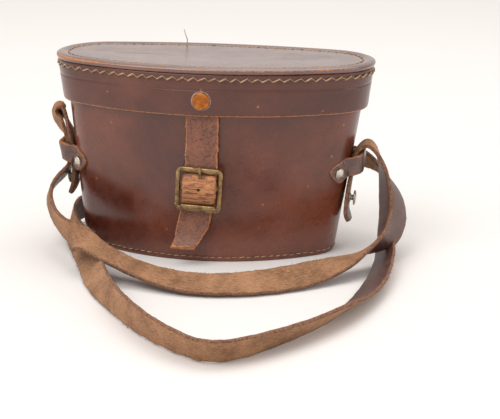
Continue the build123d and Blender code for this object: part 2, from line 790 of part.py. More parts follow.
screw_back = shoulder_thickness + 2 * stud_off_strap
for side, plane in stud_planes.items():
    with BuildPart() as stud:
        head_from = stud_base_thickness + stud_neck_length
        extrude(disc(plane, stud_base_diameter / 2), amount=stud_base_thickness)
        extrude(disc(plane, stud_neck_diameter / 2), amount=head_from + stud_head_thickness / 2)
        extrude(disc(plane.offset(head_from), stud_head_diameter / 2), amount=stud_head_thickness)
        crown = faces().sort_by(Axis(plane.origin, plane.z_dir))[-1].edges()
        fillet(crown, stud_head_thickness * dome_share)
        extrude(disc(plane, shank_diameter / 2), amount=-screw_back)
    save(stud, f"stud_{side}")
    with BuildPart() as stud_screw:
        extrude(disc(plane.offset(-screw_back), screw_head_diameter / 2), amount=-screw_head_thickness)
    save(stud_screw, f"stud_screw_{side}")
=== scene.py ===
"""Looks of an oval leather hard case: hinged lid, buckled strap, side loops, long shoulder strap."""

from __future__ import annotations

import logging
from collections.abc import Iterator, Sequence
from contextlib import contextmanager
from dataclasses import astuple, dataclass
from enum import Enum
from typing import Any

import bmesh
import bpy
import numpy as np
from mathutils import Matrix, Vector


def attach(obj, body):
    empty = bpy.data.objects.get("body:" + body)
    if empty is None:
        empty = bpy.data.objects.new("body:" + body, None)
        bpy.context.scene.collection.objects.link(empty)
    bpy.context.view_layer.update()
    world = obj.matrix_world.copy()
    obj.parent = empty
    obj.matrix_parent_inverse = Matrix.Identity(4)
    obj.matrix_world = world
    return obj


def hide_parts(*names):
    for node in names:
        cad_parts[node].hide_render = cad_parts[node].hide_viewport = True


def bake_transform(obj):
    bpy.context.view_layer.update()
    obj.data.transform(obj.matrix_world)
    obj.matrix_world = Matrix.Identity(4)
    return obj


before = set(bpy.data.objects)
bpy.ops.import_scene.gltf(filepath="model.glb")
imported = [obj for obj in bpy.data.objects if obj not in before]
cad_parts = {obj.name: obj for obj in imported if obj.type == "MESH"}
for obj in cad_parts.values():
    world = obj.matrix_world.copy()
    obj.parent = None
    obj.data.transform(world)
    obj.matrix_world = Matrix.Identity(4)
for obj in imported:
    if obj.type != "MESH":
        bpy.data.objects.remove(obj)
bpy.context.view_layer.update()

LOG = logging.getLogger("hard_case")
MM = 0.001
Array = np.ndarray
Colour = tuple[float, float, float]
Spot = tuple[float, float, float]
Solid = tuple[Array, list]
UP = np.array([0.0, 0.0, 1.0])
FRONTWARDS = np.array([0.0, -1.0, 0.0])


# ---------------------------------------------------------------- surfaces


def unit(vectors: Array) -> Array:
    """Vectors scaled to length 1 along their last axis."""
    return vectors / np.maximum(np.linalg.norm(vectors, axis=-1, keepdims=True), 1e-12)


def smooth(values: Array, low: float, high: float) -> Array:
    """A step that rises from 0 at low to 1 at high as 3t^2 - 2t^3."""
    t = np.clip((values - low) / (high - low), 0.0, 1.0)
    return t * t * (3 - 2 * t)


def travel(points: Array) -> Array:
    """Distance along a line of points, from 0 at the first."""
    return np.concatenate([[0.0], np.cumsum(np.linalg.norm(np.diff(points, axis=0), axis=1))])


def wobble(position: Array, seed: int, length: float, waves: int = 5) -> Array:
    """A gentle random wave along a line: a sum of sines of seeded length and phase, about -1 to 1.

    Args:
        position: distance along the line, mm.
        seed: picks the waves.
        length: the longest wave, mm.
        waves: how many sines are added.

    Returns:
        The wave at each position.
    """
    rng = np.random.default_rng(seed)
    total = np.zeros_like(position, dtype=float)
    for number in range(waves):
        wave = length / (1 + 0.9 * number) * rng.uniform(0.8, 1.2)
        total += np.sin(2 * np.pi * position / wave + rng.uniform(0, 2 * np.pi)) / (1 + 0.6 * number)
    return total / 2.0


def fair_curve(points: Sequence[Sequence[float]], count: int) -> Array:
    """A smooth curve through points: Catmull-Rom pieces, each spread over its chord's length.

    Args:
        points: places to pass through, of any dimension.
        count: how many points to return, evenly spread over the chords' length.

    Returns:
        An array of count points.
    """
    knots = np.asarray(points, float)
    chord = travel(knots)
    slope = np.gradient(knots, chord, axis=0)
    at = np.linspace(0.0, chord[-1], count)
    piece = np.clip(np.searchsorted(chord, at, side="right") - 1, 0, len(knots) - 2)
    width = (chord[piece + 1] - chord[piece])[:, None]
    t = (at[:, None] - chord[piece][:, None]) / width
    return (
        (2 * t**3 - 3 * t**2 + 1) * knots[piece]
        + (t**3 - 2 * t**2 + t) * width * slope[piece]
        + (-2 * t**3 + 3 * t**2) * knots[piece + 1]
        + (t**3 - t**2) * width * slope[piece + 1]
    )


def grid_faces(rows: int, columns: int, ring: bool, loop: bool = False) -> Array:
    """Quads of a grid of rows by columns; ring joins the last column to the first, loop the rows."""
    row = np.arange(rows if loop else rows - 1)[:, None]
    column = np.arange(columns if ring else columns - 1)[None, :]
    after_row, after_column = (row + 1) % rows, (column + 1) % columns
    return np.stack(
        [
            row * columns + column,
            row * columns + after_column,
            after_row * columns + after_column,
            after_row * columns + column,
        ],
        axis=-1,
    ).reshape(-1, 4)


def capped_faces(rows: int, columns: int) -> list:
    """Quads of a tube of rows rings with columns points each, and a face over each of its ends."""
    last = (rows - 1) * columns
    ends = [list(range(columns))[::-1], list(range(last, last + columns))]
    return grid_faces(rows, columns, ring=True).tolist() + ends


def circle(first: Array, second: Array, sides: int) -> Array:
    """Unit vectors, as many as sides, that turn from a first direction towards a second."""
    turn = (np.arange(sides) * 2 * np.pi / sides)[:, None]
    return first[..., None, :] * np.cos(turn) + second[..., None, :] * np.sin(turn)


class Piece:
    """A mesh object of the model, made from points in millimetres."""

    def __init__(self, name: str, points: Array, faces: list, material: bpy.types.Material) -> None:
        """Makes the object at the origin with smooth faces."""
        mesh = bpy.data.meshes.new(name)
        mesh.from_pydata((points.reshape(-1, 3) * MM).tolist(), [], [list(face) for face in faces])
        mesh.materials.append(material)
        mesh.shade_smooth()
        self.object = bpy.data.objects.new(name, mesh)
        bpy.context.scene.collection.objects.link(self.object)

    @property
    def mesh(self) -> bpy.types.Mesh:
        """The object's mesh."""
        return self.object.data

    def mark(self, name: str, values: Array) -> Piece:
        """Stores one number per point under a name that materials read."""
        attribute = self.mesh.attributes.new(name, "FLOAT", "POINT")
        attribute.data.foreach_set("value", np.asarray(values, float).ravel())
        return self

    def lay_out(self, along: Array, across: Array) -> Piece:
        """Gives the piece a UV map from two numbers per point, in millimetres."""
        corners = np.empty(len(self.mesh.loops), int)
        self.mesh.loops.foreach_get("vertex_index", corners)
        layer = self.mesh.uv_layers.new(name="UVMap")
        uv = np.stack([along.ravel()[corners], across.ravel()[corners]], axis=-1)
        layer.data.foreach_set("uv", uv.ravel())
        return self

    @contextmanager
    def shape(self) -> Iterator[bmesh.types.BMesh]:
        """The mesh as an editable shape, which is written back at the end."""
        shape = bmesh.new()
        shape.from_mesh(self.mesh)
        yield shape
        shape.to_mesh(self.mesh)
        shape.free()

    def weld(self) -> Piece:
        """Joins points that lie on each other, such as those of a pole."""
        with self.shape() as shape:
            bmesh.ops.remove_doubles(shape, verts=shape.verts, dist=2e-6)
            bmesh.ops.dissolve_degenerate(shape, edges=shape.edges, dist=1e-6)
        return self

    def outwards(self) -> Piece:
        """Turns every face outwards."""
        with self.shape() as shape:
            bmesh.ops.recalc_face_normals(shape, faces=shape.faces)
        return self

    def place(self, body: str, slot: str, *nodes: str) -> Piece:
        """Lets the piece move with a body, in place of CAD nodes."""
        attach(self.object, body)
        return self.stand_for(slot, *nodes)

    def stand_for(self, slot: str, *nodes: str) -> Piece:
        """Hides the CAD nodes that the piece stands for, and logs its face count."""
        if nodes:
            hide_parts(*nodes)
        LOG.info("%s: %d faces", self.object.name, len(self.mesh.polygons))
        return self


@dataclass(frozen=True)
class Oval:
    """Plan outline of four tangent arcs, mm: a bowed front, two round ends and a flatter back."""

    half_width: float
    front: float
    back: float
    end_radius: float


def arc_radius(run: Array, reach: Array, radius: Array) -> Array:
    """Radius of a long arc that reaches so far from the X axis and touches both end circles.

    Args:
        run: how far the end circles' centres stand from the middle.
        reach: how far the arc's middle stands from the X axis.
        radius: the end circles' radius.

    Returns:
        The arc's radius, (run^2 + reach^2 - radius^2) / (2 (reach - radius)).
    """
    return (run**2 + reach**2 - radius**2) / (2 * (reach - radius))


class Taper:
    """A wall whose outline changes with height, straight from each level to the next."""

    ARC_STEPS = (132, 64, 96, 64)
    FINE_STEPS = 400

    def __init__(self, levels: list[tuple[Oval, float]], lean: float = 0.0, lean_top: float = 1.0) -> None:
        """Keeps the levels; lean is how far the foot stands to the left, fading out at lean_top."""
        self.heights = np.array([height for _, height in levels])
        self.table = np.array([astuple(outline) for outline, _ in levels])
        self.lean = lean
        self.lean_top = lean_top
        self.arc = np.repeat(np.arange(4), self.ARC_STEPS)
        self.share = np.concatenate([np.arange(steps) / steps for steps in self.ARC_STEPS])

    @property
    def columns(self) -> int:
        """Points round one ring."""
        return len(self.share)

    def sizes(self, height: Array | float) -> Iterator[Array]:
        """Half width, front, back and end radius at some heights."""
        return (np.interp(height, self.heights, self.table[:, column]) for column in range(4))

    def at(self, height: Array, arc: Array, share: Array) -> tuple[Array, Array]:
        """Points and outward directions on the wall.

        Args:
            height: heights, mm.
            arc: which arc, 0 front, 1 right end, 2 back, 3 left end.
            share: how far along the arc, 0 to 1, counter-clockwise from above.

        Returns:
            Points and unit normals, both with x, y, z on the last axis.
        """
        height, arc, share = np.broadcast_arrays(height, arc, share)
        width, front, back, radius = self.sizes(height)
        run = width - radius
        big_front = arc_radius(run, front, radius)
        big_back = arc_radius(run, back, radius)
        turn_front = np.arctan2(run, big_front - front)
        turn_back = np.arctan2(run, big_back - back)
        end_turn = np.pi - turn_front - turn_back
        angle = np.choose(
            arc,
            [
                -np.pi / 2 + (2 * share - 1) * turn_front,
                -np.pi / 2 + turn_front + share * end_turn,
                np.pi / 2 + (2 * share - 1) * turn_back,
                np.pi / 2 + turn_back + share * end_turn,
            ],
        )
        zero = np.zeros_like(run)
        centre_x = np.choose(arc, [zero, run, zero, -run])
        centre_y = np.choose(arc, [big_front - front, zero, back - big_back, zero])
        reach = np.choose(arc, [big_front, radius, big_back, radius])
        normal = np.stack([np.cos(angle), np.sin(angle), zero], axis=-1)
        shift = self.lean * np.clip(1 - height / self.lean_top, 0, 1)
        centre = np.stack([centre_x - shift, centre_y, height], axis=-1)
        return centre + reach[..., None] * normal, normal

    def rings(self, depth: Array, height: Array) -> Array:
        """Rings of points at depths inwards from the wall, one row per (depth, height)."""
        depth, height = (
            values[:, None] if values.ndim == 1 else values
            for values in (np.asarray(depth, float), np.asarray(height, float))
        )
        points, normals = self.at(height, self.arc[None, :], self.share[None, :])
        return points - depth[..., None] * normals

    def walk(self, height: float, depth: float = 0.0) -> tuple[Array, Array, Array]:
        """A level ring in fine steps.

        Returns:
            Distance from the front's middle, points, and normals, starting at the back's middle.
        """
        arc = np.repeat(np.arange(4), self.FINE_STEPS)
        share = np.tile(np.arange(self.FINE_STEPS) / self.FINE_STEPS, 4)
        points, normals = self.at(np.array(height), arc, share)
        points = points - depth * normals
        start = int(2.5 * self.FINE_STEPS)
        points, normals = np.roll(points, -start, axis=0), np.roll(normals, -start, axis=0)
        points = np.vstack([points, points[:1]])
        normals = np.vstack([normals, normals[:1]])
        distance = travel(points)
        return distance - distance[-1] / 2, points, normals

    def spots(self, height: float, places: Array, depth: float = 0.0) -> tuple[Array, Array, Array]:
        """Points, normals and running directions at distances from the front's middle."""
        distance, points, normals = self.walk(height, depth)
        point, normal = (
            np.stack([np.interp(places, distance, values[:, k]) for k in range(3)], axis=-1)
            for values in (points, normals)
        )
        normal = unit(normal)
        along = np.stack([-normal[:, 1], normal[:, 0], np.zeros(len(normal))], axis=-1)
        return point, normal, along

    def row(self, height: float, pitch: float, depth: float = 0.0) -> Array:
        """Distances of evenly pitched stitches all the way round a level."""
        distance, _, _ = self.walk(height, depth)
        count = int(round((distance[-1] - distance[0]) / pitch))
        return np.linspace(distance[0], distance[-1], count, endpoint=False)


def slanted(along: Array, up: Array, degrees: Array) -> Array:
    """Directions that leave along for up by an angle each: along cos(a) + up sin(a)."""
    slant = np.radians(degrees)[:, None]
    return along * np.cos(slant) + up * np.sin(slant)


def stitches(
    centre: Array, along: Array, out: Array, length: float | Array, radius: float, rise: float, sink: float
) -> Solid:
    """Many short threads, each a bowed tube whose ends dive into the leather.

    The middle line is centre + along (t - 1/2) length + out (rise (1 - (2t-1)^4) - sink), and the
    tube's radius shrinks to two fifths at its ends.

    Args:
        centre: middle of each stitch on the leather's face, (n, 3).
        along: unit direction of each stitch, (n, 3).
        out: the leather's outward direction at each, (n, 3).
        length: length of the stitches, mm.
        radius: the thread's radius, mm.
        rise: how far the middle stands over the ends, mm.
        sink: how far the ends lie below the face, mm.

    Returns:
        Points (n * rings * sides, 3) and faces.
    """
    rings, sides = 7, 6
    t = np.linspace(0, 1, rings)
    length = np.broadcast_to(np.asarray(length, float), (len(centre),))
    line = (
        centre[:, None]
        + along[:, None] * (t[None, :, None] - 0.5) * length[:, None, None]
        + out[:, None] * (rise * (1 - (2 * t - 1) ** 4) - sink)[None, :, None]
    )
    swell = radius * (0.4 + 0.6 * np.sqrt(np.clip(1 - (2 * t - 1) ** 4, 0, 1)))
    ring = circle(unit(np.cross(along, out)), out, sides)[:, None] * swell[None, :, None, None]
    points = (line[:, :, None] + ring).reshape(-1, 3)
    one = grid_faces(rings, sides, ring=True)
    base = np.arange(len(centre)) * rings * sides
    quads = (one[None] + base[:, None, None]).reshape(-1, 4).tolist()
    ends = [list(first + np.arange(sides)[::-1]) for first in base]
    ends += [list(first + (rings - 1) * sides + np.arange(sides)) for first in base]
    return points, quads + ends


def join(parts: list[Solid]) -> Solid:
    """Several (points, faces) sets as one."""
    points, faces, done = [], [], 0
    for some, those in parts:
        points.append(some.reshape(-1, 3))
        faces += [[int(index) + done for index in face] for face in those]
        done += len(points[-1])
    return np.vstack(points), faces


def lathe(profile: list[tuple[float, float]], origin: Array, axis: Array, sides: int = 48) -> Solid:
    """A profile of (radius, height) turned round an axis that isn't upright; both ends are capped.

    Args:
        profile: radii and heights, mm, from one end to the other.
        origin: where height 0 lies.
        axis: direction of growing height.
        sides: points round the axis.

    Returns:
        Points and faces.
    """
    axis = unit(np.asarray(axis, float))
    first = unit(np.cross(UP, axis))
    ring = circle(first, np.cross(axis, first), sides)
    radius, height = np.array(profile, float).T
    points = np.asarray(origin, float) + radius[:, None, None] * ring + height[:, None, None] * axis
    return points.reshape(-1, 3), capped_faces(len(profile), sides)


def turned(
    name: str, profile: list[tuple[float, float]], origin: Array, axis: Array, finish: Finish, sides: int = 48
) -> Piece:
    """A turned piece in its finish, with closed poles and its faces outwards."""
    return Piece(name, *lathe(profile, origin, axis, sides), wears(finish)).weld().outwards()


class Ribbon:
    """A flat strip of leather carried along a line, with rounded cut edges.

    Section point j is across * c_j * width / 2 + normal * s_j * thickness / 2, where (c_j, s_j) runs
    round a rounded rectangle, and normal = along x across. Its grain side is the one at -normal.
    """

    FLAT = 9
    ROUND = 5

    def __init__(self, line: Array, across: Array, width: Array | float, thickness: Array | float) -> None:
        """Keeps the middle line (k, 3), the width's direction (k, 3) and the sizes, mm."""
        self.line = line
        self.along = unit(np.gradient(line, axis=0))
        level = across - self.along * np.sum(across * self.along, axis=1, keepdims=True)
        self.across = unit(level)
        self.normal = np.cross(self.along, self.across)
        self.width = np.broadcast_to(np.asarray(width, float), (len(line),))
        self.thickness = np.broadcast_to(np.asarray(thickness, float), (len(line),))
        self.distance = travel(line)

    def section(self) -> tuple[Array, Array]:
        """The section's points before scaling: flat top, right edge, flat bottom and left edge.

        Returns:
            Offsets across as a row of the flat part and a row of the rounding, and offsets through.
        """
        flat = np.linspace(-1, 1, self.FLAT)
        level = np.ones(self.FLAT)
        angle = np.linspace(0, np.pi, self.ROUND + 2)[1:-1]
        edge = np.ones(self.ROUND)
        across = np.concatenate([flat, edge, flat[::-1], -edge])
        through = np.concatenate([level, np.cos(angle), -level, -np.cos(angle)])
        out = np.concatenate([0 * level, np.sin(angle), 0 * level, -np.sin(angle)])
        return np.stack([across, out]), through

    def build(
        self, name: str, material: bpy.types.Material, crown: float = 0.0, roughen: float = 0.0, seed: int = 1
    ) -> Piece:
        """The strip as a closed mesh, with marks for its grain side and its cut edges.

        Args:
            name: the piece's name.
            material: its finish.
            crown: how far the middle of both faces stands out, mm.
            roughen: how far the cut edges wander, mm.
            seed: picks the wandering.

        Returns:
            The piece.
        """
        (across, out), through = self.section()
        edge_round = 0.42 * self.thickness[:, None]
        half = self.width[:, None] / 2 - edge_round
        right, left = (wobble(self.distance, seed + edge, 14.0, 7)[:, None] for edge in (0, 1))
        lean = np.where(across[None] > 0, right, left) * roughen
        c = across[None] * (half + lean * np.abs(across[None])) + out[None] * edge_round
        bulge = crown * (1 - across[None] ** 2)
        s = through[None] * (self.thickness[:, None] / 2 + bulge)
        points = (
            self.line[:, None]
            + self.across[:, None] * c[..., None]
            + self.normal[:, None] * s[..., None]
        )
        rows, columns = points.shape[:2]
        piece = Piece(name, points, capped_faces(rows, columns), material).outwards()
        grain = np.broadcast_to(np.clip(0.5 - through, 0, 1)[None], (rows, columns))
        cut = np.broadcast_to((np.abs(out) > 0.1).astype(float)[None], (rows, columns)).copy()
        cut[[0, -1]] = 1.0
        piece.mark("grain", grain).mark("cut", cut)
        piece.lay_out(np.broadcast_to(self.distance[:, None], (rows, columns)), c)
        return piece

    def mark_rings(self, piece: Piece, name: str, values: Array) -> None:
        """Marks the strip's piece with one number per point of its middle line."""
        piece.mark(name, np.repeat(values, len(self.section()[1])))


# ---------------------------------------------------------------- finishes


class Wire:
    """A shader socket that takes part in Python arithmetic."""

    def __init__(self, bench: Bench, socket: bpy.types.NodeSocket) -> None:
        """Remembers which material the socket belongs to."""
        self.bench = bench
        self.socket = socket

    def maths(self, operation: str, *values: Any) -> Wire:
        """A Math node of the given operation on some values."""
        return self.bench.node("ShaderNodeMath", {"operation": operation}, dict(enumerate(values)))

    def __add__(self, other: Any) -> Wire:
        """self + other."""
        return self.maths("ADD", self, other)

    def __mul__(self, other: Any) -> Wire:
        """self * other."""
        return self.maths("MULTIPLY", self, other)

    def __sub__(self, other: Any) -> Wire:
        """self - other."""
        return self.maths("SUBTRACT", self, other)

    def __rsub__(self, other: Any) -> Wire:
        """other - self."""
        return self.maths("SUBTRACT", other, self)

    def highest(self, other: Any) -> Wire:
        """The larger of the two."""
        return self.maths("MAXIMUM", self, other)

    def rise(self, low: float, high: float, start: float = 0.0, end: float = 1.0) -> Wire:
        """A smooth step from start to end as the value goes from low to high."""
        inputs = {"Value": self, "From Min": low, "From Max": high, "To Min": start, "To Max": end}
        return self.bench.node("ShaderNodeMapRange", {"interpolation_type": "SMOOTHSTEP"}, inputs)


class Bench:
    """One material in the making: a Principled surface and the nodes that feed it."""

    def __init__(self, name: str) -> None:
        """Starts an empty material."""
        self.material = bpy.data.materials.new(name)
        self.material.use_nodes = True
        self.tree = self.material.node_tree
        self.tree.nodes.clear()
        self.shader = self.tree.nodes.new("ShaderNodeBsdfPrincipled")
        output = self.tree.nodes.new("ShaderNodeOutputMaterial")
        self.tree.links.new(self.shader.outputs[0], output.inputs[0])

    def node(
        self, kind: str, settings: dict[str, Any], inputs: dict[Any, Any], output: int | str = 0
    ) -> Wire:
        """Adds a node.

        Args:
            kind: the node's type.
            settings: properties, set before anything else.
            inputs: socket name or index to a value or a Wire.
            output: which output to return.

        Returns:
            The output as a Wire.
        """
        made = self.tree.nodes.new(kind)
        for key, value in settings.items():
            setattr(made, key, value)
        self.feed(made, inputs)
        return Wire(self, made.outputs[output])

    def feed(self, made: bpy.types.Node, inputs: dict[Any, Any]) -> None:
        """Sets or links a node's inputs."""
        for key, value in inputs.items():
            if isinstance(value, Wire):
                self.tree.links.new(value.socket, made.inputs[key])
            else:
                made.inputs[key].default_value = value

    def place(self, stretch: Spot = (1, 1, 1), turn: Spot = (0, 0, 0)) -> Wire:
        """Object coordinates in millimetres, stretched and turned."""
        where = self.node("ShaderNodeTexCoord", {}, {}, "Object")
        scale = tuple(1000 * share for share in stretch)
        return self.node("ShaderNodeMapping", {}, {"Vector": where, "Scale": scale, "Rotation": turn})

    def flat_place(self, stretch: Spot = (1, 1, 1)) -> Wire:
        """The piece's own UV map, in millimetres."""
        where = self.node("ShaderNodeUVMap", {"uv_map": "UVMap"}, {})
        return self.node("ShaderNodeMapping", {}, {"Vector": where, "Scale": stretch})

    def mark(self, name: str) -> Wire:
        """A number stored on the piece's points."""
        return self.node("ShaderNodeAttribute", {"attribute_name": name}, {}, "Fac")

    def noise(
        self, place: Wire, scale: float, detail: float = 3, rough: float = 0.55, warp: float = 0
    ) -> Wire:
        """Soft noise, about 0 to 1."""
        inputs = {"Vector": place, "Scale": scale, "Detail": detail, "Roughness": rough, "Distortion": warp}
        return self.node("ShaderNodeTexNoise", {}, inputs)

    def cells(self, place: Wire, scale: float, feature: str = "F1") -> Wire:
        """Distance to a cell's centre, or to its border."""
        inputs = {"Vector": place, "Scale": scale}
        return self.node("ShaderNodeTexVoronoi", {"feature": feature}, inputs, "Distance")

    def mix(self, share: Any, first: Any, second: Any) -> Wire:
        """A colour part of the way from the first to the second."""
        pair = [(*value, 1.0) if isinstance(value, tuple) else value for value in (first, second)]
        inputs = {0: share, 6: pair[0], 7: pair[1]}
        return self.node("ShaderNodeMix", {"data_type": "RGBA"}, inputs, 2)

    def relief(self, height: Wire, depth: float, strength: float = 1.0) -> Wire:
        """A bumped normal from heights of 0 to 1 that stand for a depth in millimetres."""
        inputs = {"Height": height, "Distance": depth * MM, "Strength": strength}
        return self.node("ShaderNodeBump", {}, inputs)

    def finish(self, **inputs: Any) -> bpy.types.Material:
        """Feeds the surface, with underscores in names standing for spaces, and returns the material."""
        values = {key.replace("_", " "): value for key, value in inputs.items()}
        for key, value in values.items():
            if isinstance(value, tuple) and len(value) == 3:
                values[key] = (*value, 1.0)
        self.feed(self.shader, values)
        return self.material


@dataclass(frozen=True)
class WaxedHide:
    """Smooth hard hide with a wax shine, rubbed raw where the piece is marked; on the plate's arris the same
    mark also paints a highlight.
    """

    name: str
    deep: Colour = (0.070, 0.014, 0.008)
    warm: Colour = (0.205, 0.056, 0.027)
    # Colour of raw rubbed leather, also used as the painted highlight along the plate's arris.
    scuff: Colour = (0.38, 0.15, 0.065)
    wear_and_highlight: Colour = (0.46, 0.20, 0.085)
    gloss: float = 0.27
    coat: float = 0.40
    coat_index: float = 1.5

    def material(self) -> bpy.types.Material:
        """Builds the finish: clouded brown, flecks and scuffs, pores, and raw leather at the marks, which
        also paint the plate's arris highlight.
        """
        b = Bench(self.name)
        mm = b.place()
        cloud = b.noise(mm, 0.018, 4, 0.55, 0.4)
        mottle = b.noise(mm, 0.11, 5, 0.62)
        fine = b.noise(mm, 0.9, 4, 0.65)
        tone = (cloud * 0.8 + mottle * 0.2).rise(0.28, 0.72)
        colour = b.mix(tone, self.deep, self.warm)
        colour = b.mix(fine.rise(0.35, 0.75, 0.0, 0.30), colour, self.deep)
        warped = b.noise(mm, 0.5, 2, 0.5)
        fleck = (b.cells(mm, 0.085) + warped * 0.10).rise(0.085, 0.125, 1.0, 0.0)
        brushed = b.noise(b.place((0.05, 0.05, 0.9), (0.25, 0.4, 0.0)), 0.55, 5, 0.7).rise(0.66, 0.78)
        patch = b.noise(mm, 0.03, 2, 0.5).rise(0.50, 0.66)
        rubbed = (fleck * 0.75).highest(brushed * patch * 0.55)
        colour = b.mix(rubbed, colour, self.scuff)
        ragged = b.noise(mm, 0.35, 5, 0.7)
        # Raw leather colour at the marked places: real wear, and along the plate's arris also a painted
        # highlight.
        raw = (b.mark("wear_and_highlight") + (ragged - 0.5) * 0.9).rise(0.42, 0.66)
        raw = raw * b.mark("wear_and_highlight").rise(0.02, 0.14)
        raw_tone = b.mix(b.noise(mm, 0.6, 4, 0.7).rise(0.3, 0.7), self.wear_and_highlight, self.scuff)
        colour = b.mix(raw, colour, raw_tone)
        pores = b.cells(mm, 1.5).rise(0.0, 0.45)
        height = pores * 0.35 + fine * 0.5 + raw * (ragged * 0.9)
        rough = mottle.rise(0.3, 0.7, self.gloss - 0.05, self.gloss + 0.10) + raw * 0.3 + rubbed * 0.15
        return b.finish(
            Base_Color=colour,
            Roughness=rough,
            Coat_Weight=(1 - raw) * self.coat,
            Coat_Roughness=0.22,
            Coat_IOR=self.coat_index,
            Normal=b.relief(height, 0.06, 0.55),
        )


@dataclass(frozen=True)
class StrapHide:
    """Strap leather with a grain side, a fibrous flesh side and raw cut edges, read from marks."""

    name: str
    grain_deep: Colour = (0.050, 0.020, 0.016)
    grain_warm: Colour = (0.130, 0.060, 0.042)
    grain_bright: Colour = (0.300, 0.170, 0.140)
    flesh_deep: Colour = (0.155, 0.070, 0.030)
    flesh_warm: Colour = (0.430, 0.225, 0.115)
    cut_deep: Colour = (0.200, 0.075, 0.030)
    cut_warm: Colour = (0.420, 0.190, 0.085)
    crack: Colour = (0.46, 0.20, 0.085)
    gloss: float = 0.36
    coat: float = 0.35
    pebble: float = 0.10

    def material(self) -> bpy.types.Material:
        """Builds the finish: crackled grain, brushed flesh, ragged edges, and cracks where bent."""
        b = Bench(self.name)
        mm = b.flat_place()
        body = b.place()
        mottle = b.noise(body, 0.14, 5, 0.65)
        speck = b.noise(body, 0.8, 4, 0.7)
        crackle = b.cells(mm, 0.75, "DISTANCE_TO_EDGE").rise(0.0, 0.12)
        grain = b.mix((mottle * 0.6 + speck * 0.4).rise(0.38, 0.62), self.grain_deep, self.grain_warm)
        grain = b.mix(crackle.rise(0.0, 1.0, 0.25, 0.0), grain, self.cut_deep)
        pebbles = (b.cells(mm, 0.8) + (speck - 0.5) * 0.9).rise(0.20, 0.60)
        grain = b.mix(pebbles * self.pebble, grain, self.grain_bright)
        fibre = b.noise(b.flat_place((0.22, 1.0, 1.0)), 1.3, 5, 0.72)
        cloud = b.noise(body, 0.06, 4, 0.6)
        flesh_tone = (fibre * 0.45 + cloud * 0.35 + speck * 0.2).rise(0.36, 0.62)
        flesh = b.mix(flesh_tone, self.flesh_deep, self.flesh_warm)
        cut = b.mix(speck.rise(0.35, 0.65), self.cut_deep, self.cut_warm)
        side = (b.mark("grain") + (speck - 0.5) * 0.25).rise(0.40, 0.60)
        colour = b.mix(side, flesh, grain)
        bent = b.mark("bent")
        across_cracks = b.noise(b.flat_place((1.0, 0.16, 1.0)), 0.75, 5, 0.75).rise(0.42, 0.58)
        cracked = (bent * (across_cracks * 0.9 + 0.25)).rise(0.2, 0.75)
        colour = b.mix(cracked, colour, b.mix(speck.rise(0.3, 0.7), self.cut_warm, self.crack))
        edge = (b.mark("cut") + (speck - 0.5) * 0.5).rise(0.35, 0.65)
        colour = b.mix(edge, colour, cut)
        dull = (1 - side).highest(edge).highest(cracked * 0.6)
        grain_height = (crackle + pebbles * self.pebble * 2) * side * 0.4
        height = fibre * (1 - side) * 1.2 + grain_height + speck * 0.5 + cracked * across_cracks * 1.6
        return b.finish(
            Base_Color=colour,
            Roughness=dull * 0.42 + (mottle * 0.2 + (self.gloss - 0.1)),
            Coat_Weight=(1 - dull) * self.coat,
            Coat_Roughness=0.3,
            Normal=b.relief(height, 0.16, 0.8),
        )


@dataclass(frozen=True)
class OldMetal:
    """Plated or cast metal, dulled and stained with age."""

    name: str
    bright: Colour
    dull: Colour
    stain: Colour
    shine: float = 0.28
    wear: float = 0.5

    def material(self) -> bpy.types.Material:
        """Builds the finish: metal whose tarnish gathers in patches, with fine scratches."""
        b = Bench(self.name)
        mm = b.place()
        patch = b.noise(mm, 0.35, 5, 0.65)
        fine = b.noise(mm, 1.8, 4, 0.7)
        colour = b.mix(patch.rise(0.35, 0.65), self.bright, self.dull)
        stained = (patch * 0.4 + fine * 0.6).rise(0.62 - 0.2 * self.wear, 0.80 - 0.2 * self.wear)
        colour = b.mix(stained * 0.8, colour, self.stain)
        lines = b.noise(b.place((3.0, 3.0, 0.12), (0.3, 0.2, 0.1)), 0.8, 4, 0.6)
        return b.finish(
            Base_Color=colour,
            Metallic=1.0 - stained * 0.45,
            Roughness=patch.rise(0.3, 0.7, self.shine, self.shine + 0.2) + stained * 0.25,
            Normal=b.relief(fine * 0.6 + lines * 0.4, 0.05, 0.6),
        )


@dataclass(frozen=True)
class WaxedThread:
    """Twisted waxed thread; made nearly black, the same finish paints the shade inside holes."""

    name: str
    light: Colour = (0.52, 0.36, 0.20)
    dark: Colour = (0.25, 0.14, 0.07)

    def material(self) -> bpy.types.Material:
        """Builds the finish: two tones in patches, with the twist as a fine relief."""
        b = Bench(self.name)
        tone = b.noise(b.place(), 0.3, 4, 0.7)
        twist = b.node(
            "ShaderNodeTexWave",
            {"wave_type": "BANDS", "bands_direction": "DIAGONAL"},
            {"Vector": b.place(), "Scale": 0.9, "Distortion": 1.5, "Detail": 2.0},
            1,
        )
        return b.finish(
            Base_Color=b.mix(tone.rise(0.35, 0.65), self.dark, self.light),
            Roughness=0.62,
            Normal=b.relief(twist, 0.12, 0.6),
        )


@dataclass(frozen=True)
class NappedCloth:
    """Short napped lining cloth."""

    name: str
    deep: Colour = (0.045, 0.008, 0.010)
    light: Colour = (0.120, 0.022, 0.024)

    def material(self) -> bpy.types.Material:
        """Builds the finish: brushed nap in patches with a soft edge sheen."""
        b = Bench(self.name)
        mm = b.place()
        nap = b.noise(mm, 1.6, 5, 0.75)
        brushed = b.noise(mm, 0.05, 3, 0.5, 0.6)
        return b.finish(
            Base_Color=b.mix((nap * 0.5 + brushed * 0.5).rise(0.35, 0.65), self.deep, self.light),
            Roughness=0.95,
            Sheen_Weight=0.6,
            Sheen_Roughness=0.4,
            Normal=b.relief(nap, 0.25, 0.8),
        )


